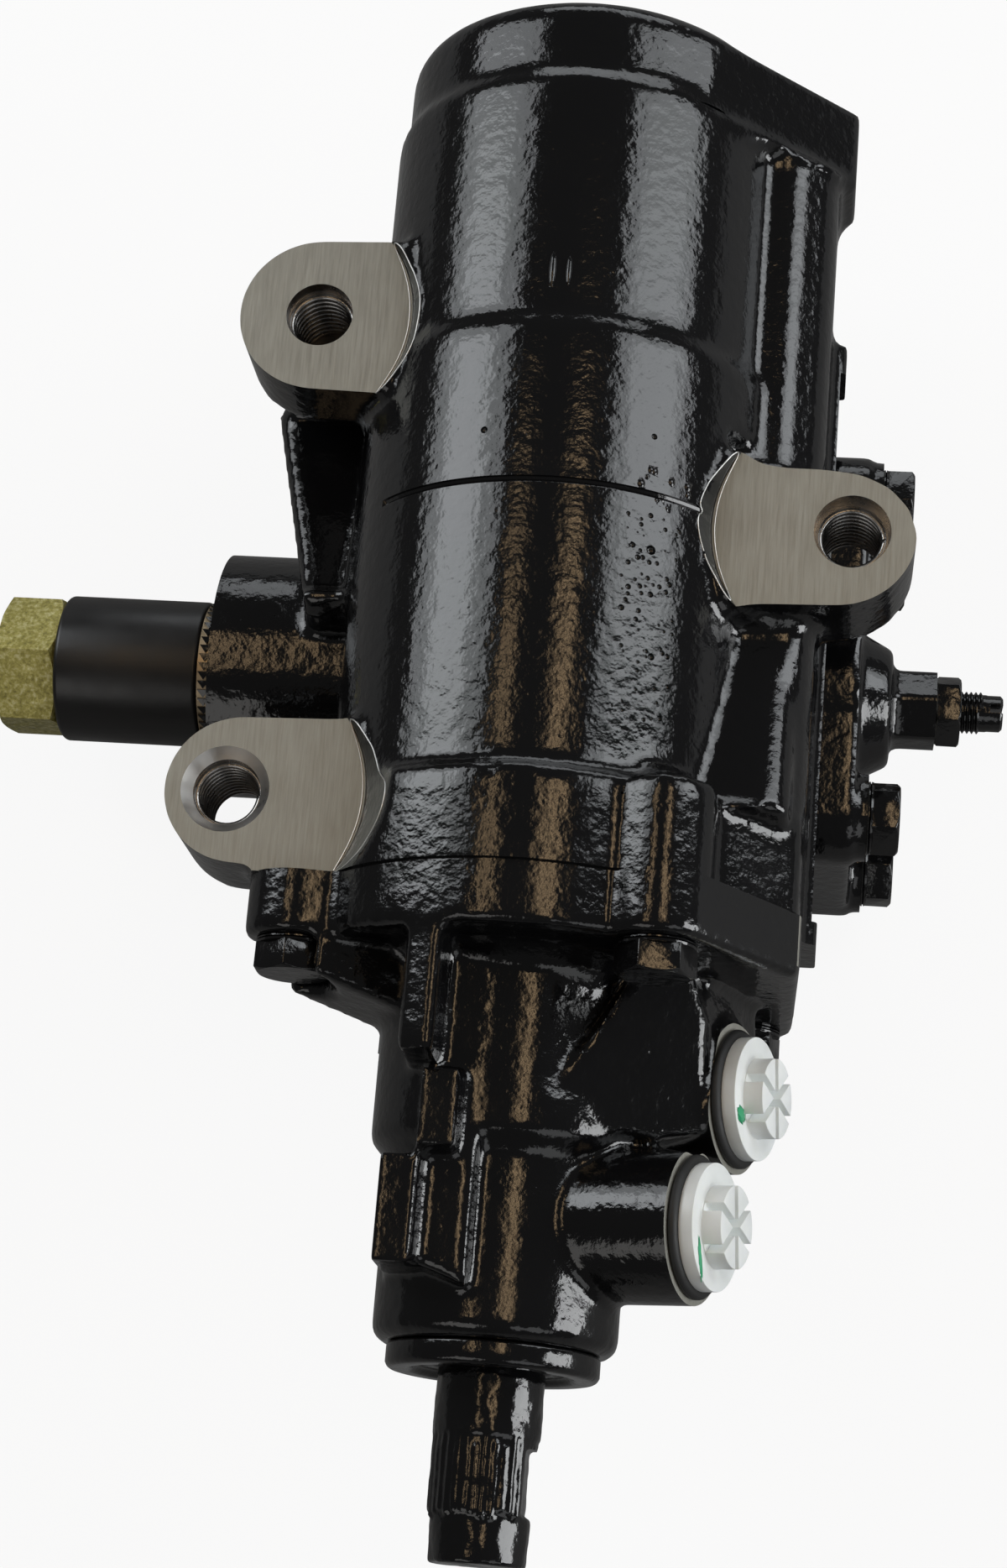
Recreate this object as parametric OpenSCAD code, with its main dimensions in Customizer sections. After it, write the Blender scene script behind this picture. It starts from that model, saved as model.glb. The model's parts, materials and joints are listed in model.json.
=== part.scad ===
// Integral recirculating-ball power steering gear, mounting faces up.
// Y runs along the worm axis from the input shaft's free end to the closed end.
// X runs along the sector shaft towards the side cover, Z out of the mounting faces.

/* [Lengths along the worm axis] */
// Input shaft outside the seal retainer
input_stub = 37; // [34:0.5:45]
// Valve housing from the retainer's face to the joint with the gear housing
valve_len = 95; // [88:0.1:105]
// Joint face to the sector shaft axis
sector_from_joint = 65; // [64:0.1:72]
// Sector shaft axis to the closed end of the gear housing
far_end = 130; // [126:0.5:140]

/* [Gear housing] */
// Bore for the rack piston
bore_d = 66; // [64:0.5:68]
// Barrel beside the sector
barrel_d = 88; // [84:0.5:92]
// Barrel above the shoulder
upper_d = 85; // [82:0.5:88]
// Closed end above its casting step
end_d = 81.5; // [79:0.5:83]
// Sector axis to the shoulder on the barrel
shoulder_up = 52; // [46:0.5:58]
// Height of the closed end above its casting step
end_h = 20.7; // [16:0.1:24]
// Thickness of the closed end
end_wall = 12; // [9:0.5:16]
// Band that carries the valve housing, measured along the worm axis
band_h = 19.4; // [18:0.1:23]
// Diameter of that band between its lobes
band_d = 94; // [91:0.5:97]
// Outermost flat of the oil passage ridge
ridge_x = 56.5; // [54:0.5:59]
// Front of the oil passage ridge
ridge_z = 14; // [11:0.5:17]
// Oil passage cored in the ridge
passage_d = 8; // [6:0.5:9]

/* [Mounting ears] */
// Mounting plane above the worm axis
ear_plane = 25.5; // [24:0.5:28]
// Thickness of an ear
ear_t = 24; // [20:0.5:26]
// Tapping size of the mounting threads
ear_hole_d = 12; // [11:0.1:12.6]
// Spot face radius of the milling cutter
cutter_r = 29; // [27:0.5:31]
// Upper ear hole across from the worm axis
ear_upper_x = -52.9; // [-55:0.1:-51]
// Upper ear hole along from the sector axis
ear_upper_y = 59; // [56:0.1:62]
// Cover side ear hole across from the worm axis
ear_right_x = 63; // [61:0.1:65]
// Cover side ear hole along from the sector axis
ear_right_y = 14.5; // [12:0.1:17]
// Lower ear hole across from the worm axis
ear_lower_x = -62; // [-64:0.1:-60]
// Lower ear hole along from the sector axis
ear_lower_y = -48; // [-49:0.1:-46]
// Round end of the upper ear
ear_upper_r = 17.3; // [16:0.1:18]
// Round end of the cover side ear
ear_right_r = 16.4; // [15:0.1:17]
// Round end of the lower ear
ear_lower_r = 15.6; // [14.5:0.1:16.5]
// Depth of the counterbores and the countersink in the ears
ear_sink = 3.5; // [2:0.5:5]

/* [Rack and sector] */
// Tooth module
tooth_module = 6; // [5.8:0.1:6.2]
// Pressure angle of the rack
pressure_angle = 25; // [24:0.5:26]
// Tooth height above the pitch line
addendum = 4.2; // [3.8:0.1:4.4]
// Play left at the pitch line
backlash = 0.5; // [0.4:0.05:0.8]
// Rack pitch plane below the worm axis
rack_drop = 21; // [20.5:0.1:22]
// Face width of the sector
sector_w = 36; // [30:0.5:38]

/* [Piston and worm] */
// Length of the rack piston
piston_len = 118; // [112:0.5:122]
// Sector turn each way from the middle
turn_each_way = 40; // [30:1:42]
// Worm turns for one turn of the sector shaft
gear_ratio = 17; // [15:0.5:19]
// Recirculating ball
ball_d = 5.5; // [5:0.1:5.6]
// Circle that the ball centres run on
ball_circle_d = 20.4; // [20:0.1:21]
// Turns of balls in the circuit
ball_turns = 2.5; // [1.5:1:2.5]

/* [Sector shaft] */
// Journal in the neck bearing
journal_d = 31.8; // [30:0.1:33]
// Journal in the cover bush
cover_journal_d = 24; // [22:0.1:25]
// Major diameter of the splined taper's serrations
spline_d = 28.8; // [27:0.1:29.4]
// Threaded end under the nut
nut_thread_d = 22; // [20:0.1:23]
// Neck outside diameter
neck_d = 56; // [53:0.5:58]
// End of the neck from the worm axis
neck_x = 78; // [76:0.5:82]
// Sleeve over the splines
sleeve_d = 33.6; // [32.5:0.1:35]
// Length of that sleeve
sleeve_len = 36; // [32:0.5:40]
// Nut across flats
nut_af = 28.6; // [27:0.1:30]
// Nut thickness
nut_t = 14; // [12:0.5:16]

/* [Side cover] */
// Joint face of the side cover from the worm axis
cover_x = 56; // [54:0.5:58]
// Cover plate thickness
cover_t = 10.5; // [9:0.5:12]
// Opening that the sector is fitted through
cover_bore_d = 60; // [59:0.5:62]
// Cover bolts' spacing along the worm axis
cover_bolt_y = 73; // [71:0.5:76]
// Cover bolts' spacing across the worm axis
cover_bolt_z = 43; // [41:0.5:46]
// Bolt rectangle's shift towards the closed end
cover_shift = 4; // [2:0.5:5]
// Hub length outside the plate
hub_len = 7.5; // [6:0.5:9]
// Hexagon beyond the hub
hub_hex_len = 10; // [8:0.5:12]
// Adjuster thread
adjuster_d = 9.5; // [9:0.1:10]
// Adjuster standing out of its locknut
adjuster_out = 10.5; // [8:0.5:13]
// Locknut thickness
locknut_t = 5.5; // [5:0.5:7]

/* [Valve housing] */
// Flange thickness
flange_t = 12.8; // [11:0.1:14]
// Bolt square side
valve_bolt_pitch = 76; // [75:0.5:78]
// Turn of the bolt square
valve_bolt_turn = 12.4; // [8:0.1:16]
// Bolt square's centre below the worm axis
valve_bolt_drop = 10; // [9:0.5:11]
// Lobe radius at a flange bolt
lobe_r = 10.5; // [10:0.1:11.5]
// Body under the flange
valve_top_d = 57; // [55:0.5:60]
// Body at the input end
valve_low_d = 49.6; // [47:0.1:52]
// Bore for the valve sleeve
sleeve_bore_d = 34; // [33:0.5:35]
// Ports' tilt from the cover side towards the mounting faces
port_tilt = 21; // [15:1:27]
// Port boss
port_boss_d = 30.8; // [30:0.1:32]
// Minor diameter of the port threads
port_bore_d = 15; // [13:0.5:16]
// Return port's face across from the worm axis
port_low_x = 39.1; // [37:0.1:42]
// Return port along from the sector axis
port_low_y = -129.8; // [-132:0.1:-128]
// Return port's face above the worm axis
port_low_z = 15.3; // [13:0.1:18]
// Pressure port along from the sector axis
port_high_y = -100.5; // [-102:0.5:-99]
// Pressure port's distance back from the return port on their common face
port_back = 17.6; // [16:0.1:20]

/* [Input shaft and spool valve] */
// Input shaft at the seal
input_d = 21.6; // [20:0.1:22]
// Serrated length that takes the coupling
serration_len = 15; // [12:0.5:18]
// Major diameter of the serrations
serration_d = 20.8; // [19.5:0.1:21]
// Pilot land at the free end
input_tip_d = 18.6; // [17:0.1:19]
// Spool in the valve sleeve
spool_d = 22; // [21.9:0.1:23]
// Torsion bar
torsion_d = 6; // [5:0.1:6.5]

/* [Fasteners and fits] */
// Shank of the flange and cover bolts
bolt_d = 9.5; // [9:0.1:10]
// Their hexagon across flats
bolt_af = 14.3; // [13.5:0.1:15]
// Their head height
bolt_head = 7; // [6:0.5:8]
// Radial running clearance of shafts and slides
run_gap = 0.05; // [0.02:0.01:0.09]
// Clearance between pieces that pass each other
free_gap = 0.4; // [0.3:0.05:0.6]

/* [Hidden] */
$fn = 64;
y_joint = input_stub + valve_len;
y_sector = y_joint + sector_from_joint;
y_far = y_sector + far_end;
bore_r = bore_d / 2;
wheel_teeth = 8;
pitch_r = wheel_teeth * tooth_module / 2;
sector_z = -(rack_drop + pitch_r);
tip_gap = 0.7;
dedendum = addendum + tip_gap;
tip_r = pitch_r + addendum;
root_r = pitch_r - dedendum;
base_r = pitch_r * cos(pressure_angle);
pitch_len = PI * tooth_module;
stroke = pitch_r * turn_each_way * PI / 180;
lead = 2 * PI * pitch_r / gear_ratio;
ear_holes = [[ear_upper_x, ear_upper_y], [ear_right_x, ear_right_y], [ear_lower_x, ear_lower_y]];
sink_r = [ear_hole_d / 2 + 1.2, ear_hole_d / 2 + 2, ear_hole_d / 2 + 3.2];
sink_floor_r = [sink_r[0], sink_r[1], ear_hole_d / 2 + 0.2];
upper_cut_shift = 9;
mill_stock = 1;

// Side cover bolts as [along the worm, up], from the sector axis
cover_bolts = [for (k = [[1, 1], [-1, 1], [-1, -1], [1, -1]])
    [cover_shift + k[0] * cover_bolt_y / 2, k[1] * cover_bolt_z / 2]];
cover_lobe_r = 10.5;
cover_rim_r = cover_bore_d / 2 + 4.5;
cover_seat = 3;
cover_thread = 20;
hub_x = cover_x + cover_t + hub_len;
hex_x = hub_x + hub_hex_len;
hub_hex_af = 16.2;
adjuster_x = hex_x + locknut_t + adjuster_out;
spigot_len = 9;
bush_wall = 2;
bush_x = cover_x - spigot_len + 0.5;
bush_len = 13;
cover_journal_end = bush_x + bush_len - 0.5;
screw_head_d = 14;
screw_head_t = 4;
screw_head_x = cover_journal_end - 6;

// Neck, measured from the worm axis towards the nut
cavity_r = cover_bore_d / 2;
case_wall = 6;
cavity_x = sector_w / 2 + 2.5;
neck_bore_r = 20;
neck_bearing_x = cavity_x + 4;
neck_bearing_len = 30;
neck_seal_x = neck_bearing_x + neck_bearing_len + 4;
neck_seal_len = 9;
neck_clip_x = neck_seal_x + neck_seal_len + 1;
neck_clip_t = 2;
sleeve_x = neck_x + 2;
nut_x = sleeve_x + sleeve_len;
spline_count = 36;

// Flange bolts as [across, up] from the worm axis
valve_bolts = [for (k = [0:3]) let (a = 45 + valve_bolt_turn + 90 * k, r = valve_bolt_pitch / sqrt(2))
    [r * cos(a), r * sin(a) - valve_bolt_drop]];
flange_x = ridge_x + 0.5;
flange_corner_z = 12.5;
valve_thread = 18;

// Worm and piston, from the sector axis along the worm
piston_low = -40;
piston_flat_end = 46;
guide_low = -24;
guide_high = guide_low + ball_turns * lead;
worm_thread_low = piston_low - stroke + 8;
worm_thread_high = guide_high + stroke + 8;
worm_end = worm_thread_high + 3;
worm_r = ball_circle_d / 2 - 0.4;
nut_bore_r = ball_circle_d / 2 + 0.4;
groove_r = ball_d / 2 + 0.25;
piston_hole_end = worm_end + stroke + 3;
guide_z = 20;
guide_tube_r = ball_d / 2 + 0.85;
guide_bend = 5;
pocket_z = guide_z - guide_bend - 0.1;

// Valve stack, as distances along the worm axis
bearing_w = 13;
bearing_r = 26;
bearing_bore_r = 12;
bearing_y = y_joint - bearing_w;
bearing_ball_r = 3.6;
bearing_ball_circle = 19;
valve_sleeve_y1 = bearing_y - 4;
retainer_t = 5;
seal_t = 6;
input_bearing_w = 9;
retainer_y = input_stub;
seal_y = retainer_y + retainer_t;
input_bearing_y = seal_y + seal_t + 1;
valve_sleeve_y0 = input_bearing_y + input_bearing_w + 2;
spool_y1 = valve_sleeve_y1 - free_gap;
input_bearing_r = input_d / 2 + 3;
seal_r = 16;
retainer_r = 21.6;
valve_neck_y = y_joint - 49.6;
tip_len = 10;
torsion_y0 = 8;
tang_w = 6;
tang_len = 12;
tang_h = 5;
port_dir = [cos(port_tilt), 0, sin(port_tilt)];
port_low = [port_low_x, port_low_y + y_sector, port_low_z];
port_high = [port_low_x + port_back * sin(port_tilt), port_high_y + y_sector,
    port_low_z - port_back * cos(port_tilt)];
port_reach = 44;
mass_len = port_reach - 2;
plug_rim_r = 12.6;
plug_rim_t = 3;
plug_seal_t = 1.8;
hub_r = 8.2;
hub_h = 4.2;
hub_slot = 1.8;
slot_floor = 0.3;

// Cast forms on the front of the valve housing
rail_x = -4;
rail_z = 28.8;
rail_low = 51;
gusset_x = -19.8;
gusset_w = 7.1;
gusset_low = 94;
pad_upper = [-15.1, 76.3];
pad_upper_size = [7.6, 15.7, 35];
pad_lower = [-22, 54];
pad_lower_size = [7.8, 21.2, 33];
facet_turn = 33.4;
facet_r = 27.3;
pocket_lean = [-9.2, 15.3, 0];
pocket_depth = 36.8;
pocket_outline = [[23.5, 112.5], [10.5, 91.3], [19.2, 90.3], [21, 81], [60, 81], [60, 112.5]];

// Placing helpers: a local z axis laid along Y, along X, or along a port
module along_y(y) translate([0, y, 0]) rotate([-90, 0, 0]) children();
module along_x(x) translate([x, y_sector, sector_z]) rotate([0, 90, 0]) children();
module at_port(p, out) translate(p + out * port_dir) rotate([0, 90 - port_tilt, 0]) children();

// Plain ring or disc about the worm axis
module worm_ring(y0, y1, r_in, r_out)
    along_y(y0) rotate_extrude() translate([r_in, 0]) square([r_out - r_in, y1 - y0]);

// Plain ring about the sector axis
module sector_ring(x0, x1, r_in, r_out)
    along_x(x0) rotate_extrude() translate([r_in, 0]) square([r_out - r_in, x1 - x0]);

function polar(r, a) = [r * cos(a), r * sin(a)];

// Two circles and straight sides that all but touch them, so that each side crosses its circle cleanly
module link(p, r, q, s) {
    inside = 0.02;
    d = q - p;
    a = atan2(d[1], d[0]);
    b = acos((r - s) / norm(d));
    translate(p) circle(r);
    translate(q) circle(s);
    polygon([for (k = [[p, r, 1], [p, r, -1], [q, s, -1], [q, s, 1]])
        k[0] + polar(k[1] - inside, a + k[2] * b)]);
}

// Links round a ring of lobes, filled inside
module lobes(points, r) {
    n = len(points);
    for (k = [0:n - 1]) link(points[k], r, points[(k + 1) % n], r);
    polygon(points);
}

// Hexagon by its size across flats, flats up
module hexagon(af) circle(r = af / sqrt(3), $fn = 6);

// Hexagon bolt whose head sits on z 0 and whose shank goes down
module hex_bolt(len) {
    cylinder(h = 1.2, r = bolt_af / 2 + 0.9);
    linear_extrude(bolt_head) hexagon(bolt_af);
    translate([0, 0, -len]) cylinder(h = len, r = bolt_d / 2);
}

// Involute sector tooth pointing along local x
function involute(r) = let (t = sqrt(max(0, pow(r / base_r, 2) - 1))) t * 180 / PI - atan(t);
half_tooth = (pitch_len / 2 - backlash) / (2 * pitch_r) * 180 / PI;
function flank(r) = half_tooth + involute(pitch_r) - involute(r);
tooth_steps = 6;
tooth_radii = [root_r - 1, for (k = [0:tooth_steps]) base_r + (tip_r - base_r) * k / tooth_steps];
module sector_tooth()
    polygon([for (r = tooth_radii) polar(r, flank(r)),
        for (k = [len(tooth_radii) - 1:-1:0]) polar(tooth_radii[k], -flank(tooth_radii[k]))]);

// Rack gap in [along, depth], with the pitch line at depth 0
module rack_gap() {
    half = pitch_len / 4;
    slope = tan(pressure_angle);
    out = addendum + 1;
    polygon([[-half - out * slope, -out], [half + out * slope, -out],
        [half - dedendum * slope, dedendum], [-half + dedendum * slope, dedendum]]);
}

// Cross-section of the worm: one ball groove wound round it once per lead
worm_points = 18;
function worm_radius(a) = let (s = lead * a / 360, v = groove_r * groove_r - s * s)
    v > 0 ? min(worm_r, ball_circle_d / 2 - sqrt(v)) : worm_r;
module worm_section()
    polygon([for (k = [0:worm_points - 1]) let (a = 360 * k / worm_points - 180) polar(worm_radius(a), a)]);

// Outlines shared by castings, their seals and covers
module cover_outline() {
    lobes([for (b = cover_bolts) [-b[1], b[0]]], cover_lobe_r);
    circle(cover_rim_r);
}
// Round body with a lobe at each flange bolt, as [across, down]
module lobed_round(r) {
    circle(r);
    for (b = valve_bolts) link([b[0], -b[1]], lobe_r, [b[0], -b[1]] * 0.4, lobe_r + 6);
}
module flange_outline() {
    corner_r = 4;
    lobed_round(band_d / 2 - 1);
    link([valve_bolts[0][0], -valve_bolts[0][1]], lobe_r, [flange_x - corner_r, -flange_corner_z], corner_r);
    link([valve_bolts[3][0], -valve_bolts[3][1]], lobe_r, [flange_x - corner_r, -flange_corner_z], corner_r);
    link([0, 0], band_d / 2 - 1, [flange_x - corner_r, -flange_corner_z], corner_r);
}

module barrel() {
    r1 = barrel_d / 2;
    r2 = upper_d / 2;
    r3 = end_d / 2;
    round_r = 6;
    y_step = far_end - end_h;
    translate([0, y_sector, 0]) rotate([-90, 0, 0]) rotate_extrude() {
        polygon([[0, -sector_from_joint], [r1, -sector_from_joint], [r1, shoulder_up - 1],
            [r2, shoulder_up + 1], [r2, y_step], [r3, y_step + 1.2], [r3, far_end - round_r],
            [r3 - round_r, far_end - round_r], [r3 - round_r, far_end], [0, far_end]]);
        translate([r3 - round_r, far_end - round_r]) circle(round_r);
    }
}

// Cored passage beside the barrel, with the lug that turns it into the closed end
module oil_ridge() {
    top = far_end - end_h - 2;
    rib_r = 8;
    lug_h = end_h - 2;
    lug_x = ridge_x + 3.5;
    low = -sector_from_joint;
    translate([0, y_sector + low, 0]) {
        for (p = [[ridge_x - 12, ridge_z - rib_r], [ridge_x - rib_r - 0.5, ridge_z - rib_r - 3]])
            translate([p[0], 0, p[1]]) rotate([-90, 0, 0]) cylinder(h = top - low, r = rib_r);
        translate([bore_r - 4, 0, -24]) cube([ridge_x - bore_r + 4, top - low, ridge_z + 13]);
    }
    along_y(y_sector + top) linear_extrude(lug_h)
        polygon([[18, -37], [lug_x - 3, -ridge_z + 1], [lug_x, -ridge_z + 5], [lug_x, 20],
            [lug_x - 4, 25], [20, 35]]);
}

// Ear as a plan outline reaching into the barrel, with stock for the milled face
module ear(p, shift, r, root) {
    translate([0, y_sector, ear_plane - ear_t]) linear_extrude(ear_t + mill_stock)
        link(p + shift, r, root, r + 1);
}

// Box-like wall on the cover side between the ear and the joint
module side_wall() {
    wall_top = ear_right_y - 8;
    rib_r = 8;
    translate([0, y_joint, 0]) {
        translate([bore_r, 0, -30]) cube([ridge_x - bore_r, sector_from_joint + wall_top, 42]);
        for (p = [[ridge_x - rib_r - 0.5, 12], [ridge_x - 19, 17]]) translate([p[0], 0, p[1]])
            rotate([-90, 0, 0]) cylinder(h = sector_from_joint + wall_top, r = rib_r);
    }
}

// Web from the upper ear down to the neck
module neck_web() {
    web_z = -30;
    translate([0, y_sector, web_z]) linear_extrude(ear_plane - ear_t - web_z + 3)
        polygon([[ear_upper_x - 9, ear_upper_y - 12], [-30, ear_upper_y - 12], [-30, 2], [-55, 2],
            [-57, 24], [-59, ear_upper_y - 20]]);
}

module sector_case() {
    sector_ring(-cavity_x - case_wall, cover_x - 8, 0, cavity_r + case_wall);
    along_x(-neck_x) cylinder(h = neck_x - cavity_x, r = neck_d / 2);
    along_x(-cavity_x - 26) cylinder(h = 20, r1 = neck_d / 2, r2 = cavity_r + case_wall);
    along_x(cover_x - 26) linear_extrude(26) cover_outline();
}

module gear_housing() color([0.08, 0.08, 0.09]) difference() {
    union() {
        barrel();
        oil_ridge();
        side_wall();
        sector_case();
        neck_web();
        along_y(y_joint) linear_extrude(band_h) {
            lobed_round(band_d / 2);
            polygon([[30, -29], [38.5, -29.6], [ridge_x - 0.4, -16.4], [ridge_x - 0.4, 10], [30, 10]]);
        }
        ear(ear_holes[0], [0, 0], ear_upper_r, [-18, ear_upper_y]);
        ear(ear_holes[1], [-3, 0], ear_right_r, [26, ear_right_y]);
        ear(ear_holes[2], [3, 0], ear_lower_r, [-24, ear_lower_y]);
    }
    // Spot faces, conical at the wall, and the mounting threads
    for (k = [0:2])
        translate([ear_holes[k][0] - (k == 0 ? upper_cut_shift : 0), y_sector + ear_holes[k][1], ear_plane])
            cylinder(h = 24, r1 = cutter_r, r2 = cutter_r + 12);
    for (p = ear_holes) translate([p[0], y_sector + p[1], ear_plane - ear_t - 1])
        cylinder(h = ear_t + 2, r = ear_hole_d / 2);
    for (k = [0:2]) translate([ear_holes[k][0], y_sector + ear_holes[k][1], ear_plane - ear_sink])
        cylinder(h = ear_sink + mill_stock, r1 = sink_floor_r[k],
            r2 = sink_r[k] + (sink_r[k] - sink_floor_r[k]) * mill_stock / ear_sink);
    // Milled face for the side cover
    translate([cover_x, y_sector - cover_bolt_y, sector_z - neck_d])
        cube([20, 2 * cover_bolt_y, neck_d + cavity_r + case_wall]);
    // Piston bore and sector cavity
    worm_ring(y_joint - 1, y_far - end_wall, 0, bore_r);
    sector_ring(-cavity_x, cover_x + 1, 0, cavity_r);
    sector_ring(-neck_x - 1, -cavity_x + 1, 0, neck_bore_r);
    sector_ring(-neck_clip_x - neck_clip_t, -neck_clip_x, 0, neck_bore_r + 1.5);
    // Oil passage and its turn into the closed end
    translate([ridge_x - 11, y_joint - 1, -6]) rotate([-90, 0, 0])
        cylinder(h = y_far - end_wall - 6 - y_joint + 1, r = passage_d / 2);
    translate([0, y_far - end_wall - 10, -6]) rotate([0, 90, 0])
        cylinder(h = ridge_x - 11, r = passage_d / 2);
    // Tapped holes for the valve housing and the side cover
    for (b = valve_bolts) translate([b[0], y_joint - 1, b[1]]) rotate([-90, 0, 0])
        cylinder(h = valve_thread + 3, r = bolt_d / 2 + run_gap);
    for (b = cover_bolts) along_x(cover_x - cover_thread - 2) translate([-b[1], b[0], 0])
        cylinder(h = cover_thread + 3, r = bolt_d / 2 + run_gap);
}

module side_cover() color([0.08, 0.08, 0.09]) difference() {
    union() {
        along_x(cover_x) linear_extrude(cover_t) cover_outline();
        sector_ring(cover_x - spigot_len, cover_x + 1, 0, cavity_r - run_gap);
        for (b = cover_bolts) along_x(cover_x) translate([-b[1], b[0], 0])
            cylinder(h = cover_t + cover_seat, r = cover_lobe_r - 1);
        along_x(cover_x + cover_t) cylinder(h = hub_len, r1 = 17, r2 = 13);
        along_x(hub_x - 1) linear_extrude(hub_hex_len + 1) hexagon(hub_hex_af);
    }
    sector_ring(cover_x - spigot_len - 1, bush_x + bush_len, 0, cover_journal_d / 2 + bush_wall);
    sector_ring(cover_x - spigot_len - 1, hex_x + 1, 0, adjuster_d / 2 + run_gap);
    sector_ring(cover_x - 5, cover_x - 2, cavity_r - 2.5, cavity_r + 1);
    for (b = cover_bolts) along_x(cover_x - 1) translate([-b[1], b[0], 0])
        cylinder(h = cover_t + cover_seat + 2, r = bolt_d / 2 + free_gap);
}

module side_cover_bolts() color([0.1, 0.1, 0.11])
    for (b = cover_bolts) along_x(cover_x + cover_t + cover_seat) translate([-b[1], b[0], 0])
        hex_bolt(cover_t + cover_seat + cover_thread - 2);

module side_cover_seal() color([0.05, 0.05, 0.05])
    sector_ring(cover_x - 4.8, cover_x - 2.2, cavity_r - 2.4, cavity_r - 0.02);

module cover_bush() color([0.62, 0.45, 0.2])
    sector_ring(bush_x, bush_x + bush_len, cover_journal_d / 2 + run_gap, cover_journal_d / 2 + bush_wall);

module adjuster_screw() color([0.1, 0.1, 0.11]) difference() {
    slot_end = 3.5;
    union() {
        sector_ring(screw_head_x, screw_head_x + screw_head_t, 0, screw_head_d / 2);
        sector_ring(screw_head_x, adjuster_x - slot_end, 0, adjuster_d / 2);
        sector_ring(screw_head_x, adjuster_x, 0, adjuster_d / 2 - 1.1);
    }
    along_x(adjuster_x - slot_end + 0.5) translate([-1, -adjuster_d, 0]) cube([2, 2 * adjuster_d, slot_end]);
}

module adjuster_locknut() color([0.1, 0.1, 0.11]) along_x(hex_x) linear_extrude(locknut_t)
    difference() {
        hexagon(bolt_af);
        circle(adjuster_d / 2 + run_gap);
    }

module neck_bearing() color([0.7, 0.7, 0.72]) {
    roller_r = 1.6;
    shell = 0.6;
    shell_r = journal_d / 2 + 2 * run_gap + 2 * roller_r;
    rollers = 24;
    sector_ring(-neck_bearing_x - neck_bearing_len, -neck_bearing_x, shell_r, neck_bore_r);
    for (k = [0:rollers - 1]) along_x(-neck_bearing_x - neck_bearing_len + shell)
        rotate([0, 0, k * 360 / rollers]) translate([journal_d / 2 + run_gap + roller_r, 0, 0])
            cylinder(h = neck_bearing_len - 2 * shell, r = roller_r);
}

module neck_seal() color([0.06, 0.06, 0.06])
    sector_ring(-neck_seal_x - neck_seal_len, -neck_seal_x, journal_d / 2 + run_gap, neck_bore_r);

module neck_seal_clip() color([0.6, 0.6, 0.62])
    sector_ring(-neck_clip_x - neck_clip_t, -neck_clip_x, journal_d / 2 + 2, neck_bore_r + 1.5);

// Shaft, toothed sector, serrations and the slot for the adjuster's head
module sector_shaft() color([0.62, 0.62, 0.64]) difference() {
    union() {
        along_x(-nut_x) linear_extrude(nut_x - neck_x + 6)
            polygon([for (k = [0:2 * spline_count - 1])
                polar(spline_d / 2 - (k % 2) * 1.1, k * 180 / spline_count)]);
        sector_ring(-nut_x - nut_t + 1, -nut_x + 1, 0, nut_thread_d / 2);
        sector_ring(-neck_x + 4, -sector_w / 2 + 1, 0, journal_d / 2);
        along_x(-sector_w / 2) linear_extrude(sector_w) {
            circle(root_r);
            for (k = [-1:1]) rotate(180 + k * 360 / wheel_teeth) sector_tooth();
        }
        sector_ring(sector_w / 2 - 1, bush_x - 3, 0, journal_d / 2);
        sector_ring(bush_x - 4, cover_journal_end, 0, cover_journal_d / 2);
    }
    sector_ring(screw_head_x - free_gap, screw_head_x + screw_head_t + free_gap, 0,
        screw_head_d / 2 + free_gap);
    along_x(screw_head_x - free_gap) translate([-screw_head_d / 2 - free_gap, 0, 0])
        cube([screw_head_d + 2 * free_gap, cover_journal_d, screw_head_t + 2 * free_gap]);
    sector_ring(screw_head_x, cover_journal_end + 1, 0, adjuster_d / 2 + free_gap);
    along_x(screw_head_x) translate([-adjuster_d / 2 - free_gap, 0, 0])
        cube([adjuster_d + 2 * free_gap, cover_journal_d, screw_head_t + 8]);
}

module spline_sleeve() color([0.1, 0.1, 0.1]) difference() {
    chamfer = 1.5;
    union() {
        sector_ring(-nut_x + chamfer, -sleeve_x, 0, sleeve_d / 2);
        along_x(-nut_x) cylinder(h = chamfer, r1 = sleeve_d / 2 - chamfer, r2 = sleeve_d / 2);
    }
    sector_ring(-nut_x - 1, -sleeve_x + 1, 0, spline_d / 2 + run_gap);
}

module pitman_nut() color([0.66, 0.58, 0.25]) difference() {
    across = nut_af / sqrt(3);
    chamfer = 2;
    intersection() {
        along_x(-nut_x - nut_t) rotate(90) linear_extrude(nut_t) hexagon(nut_af);
        along_x(-nut_x - nut_t) rotate_extrude()
            polygon([[0, 0], [across - chamfer, 0], [across, chamfer * 0.6],
                [across, nut_t - chamfer * 0.6], [across - chamfer, nut_t], [0, nut_t]]);
    }
    sector_ring(-nut_x - nut_t - 1, -nut_x + 1, 0, nut_thread_d / 2 + run_gap);
}

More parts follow.
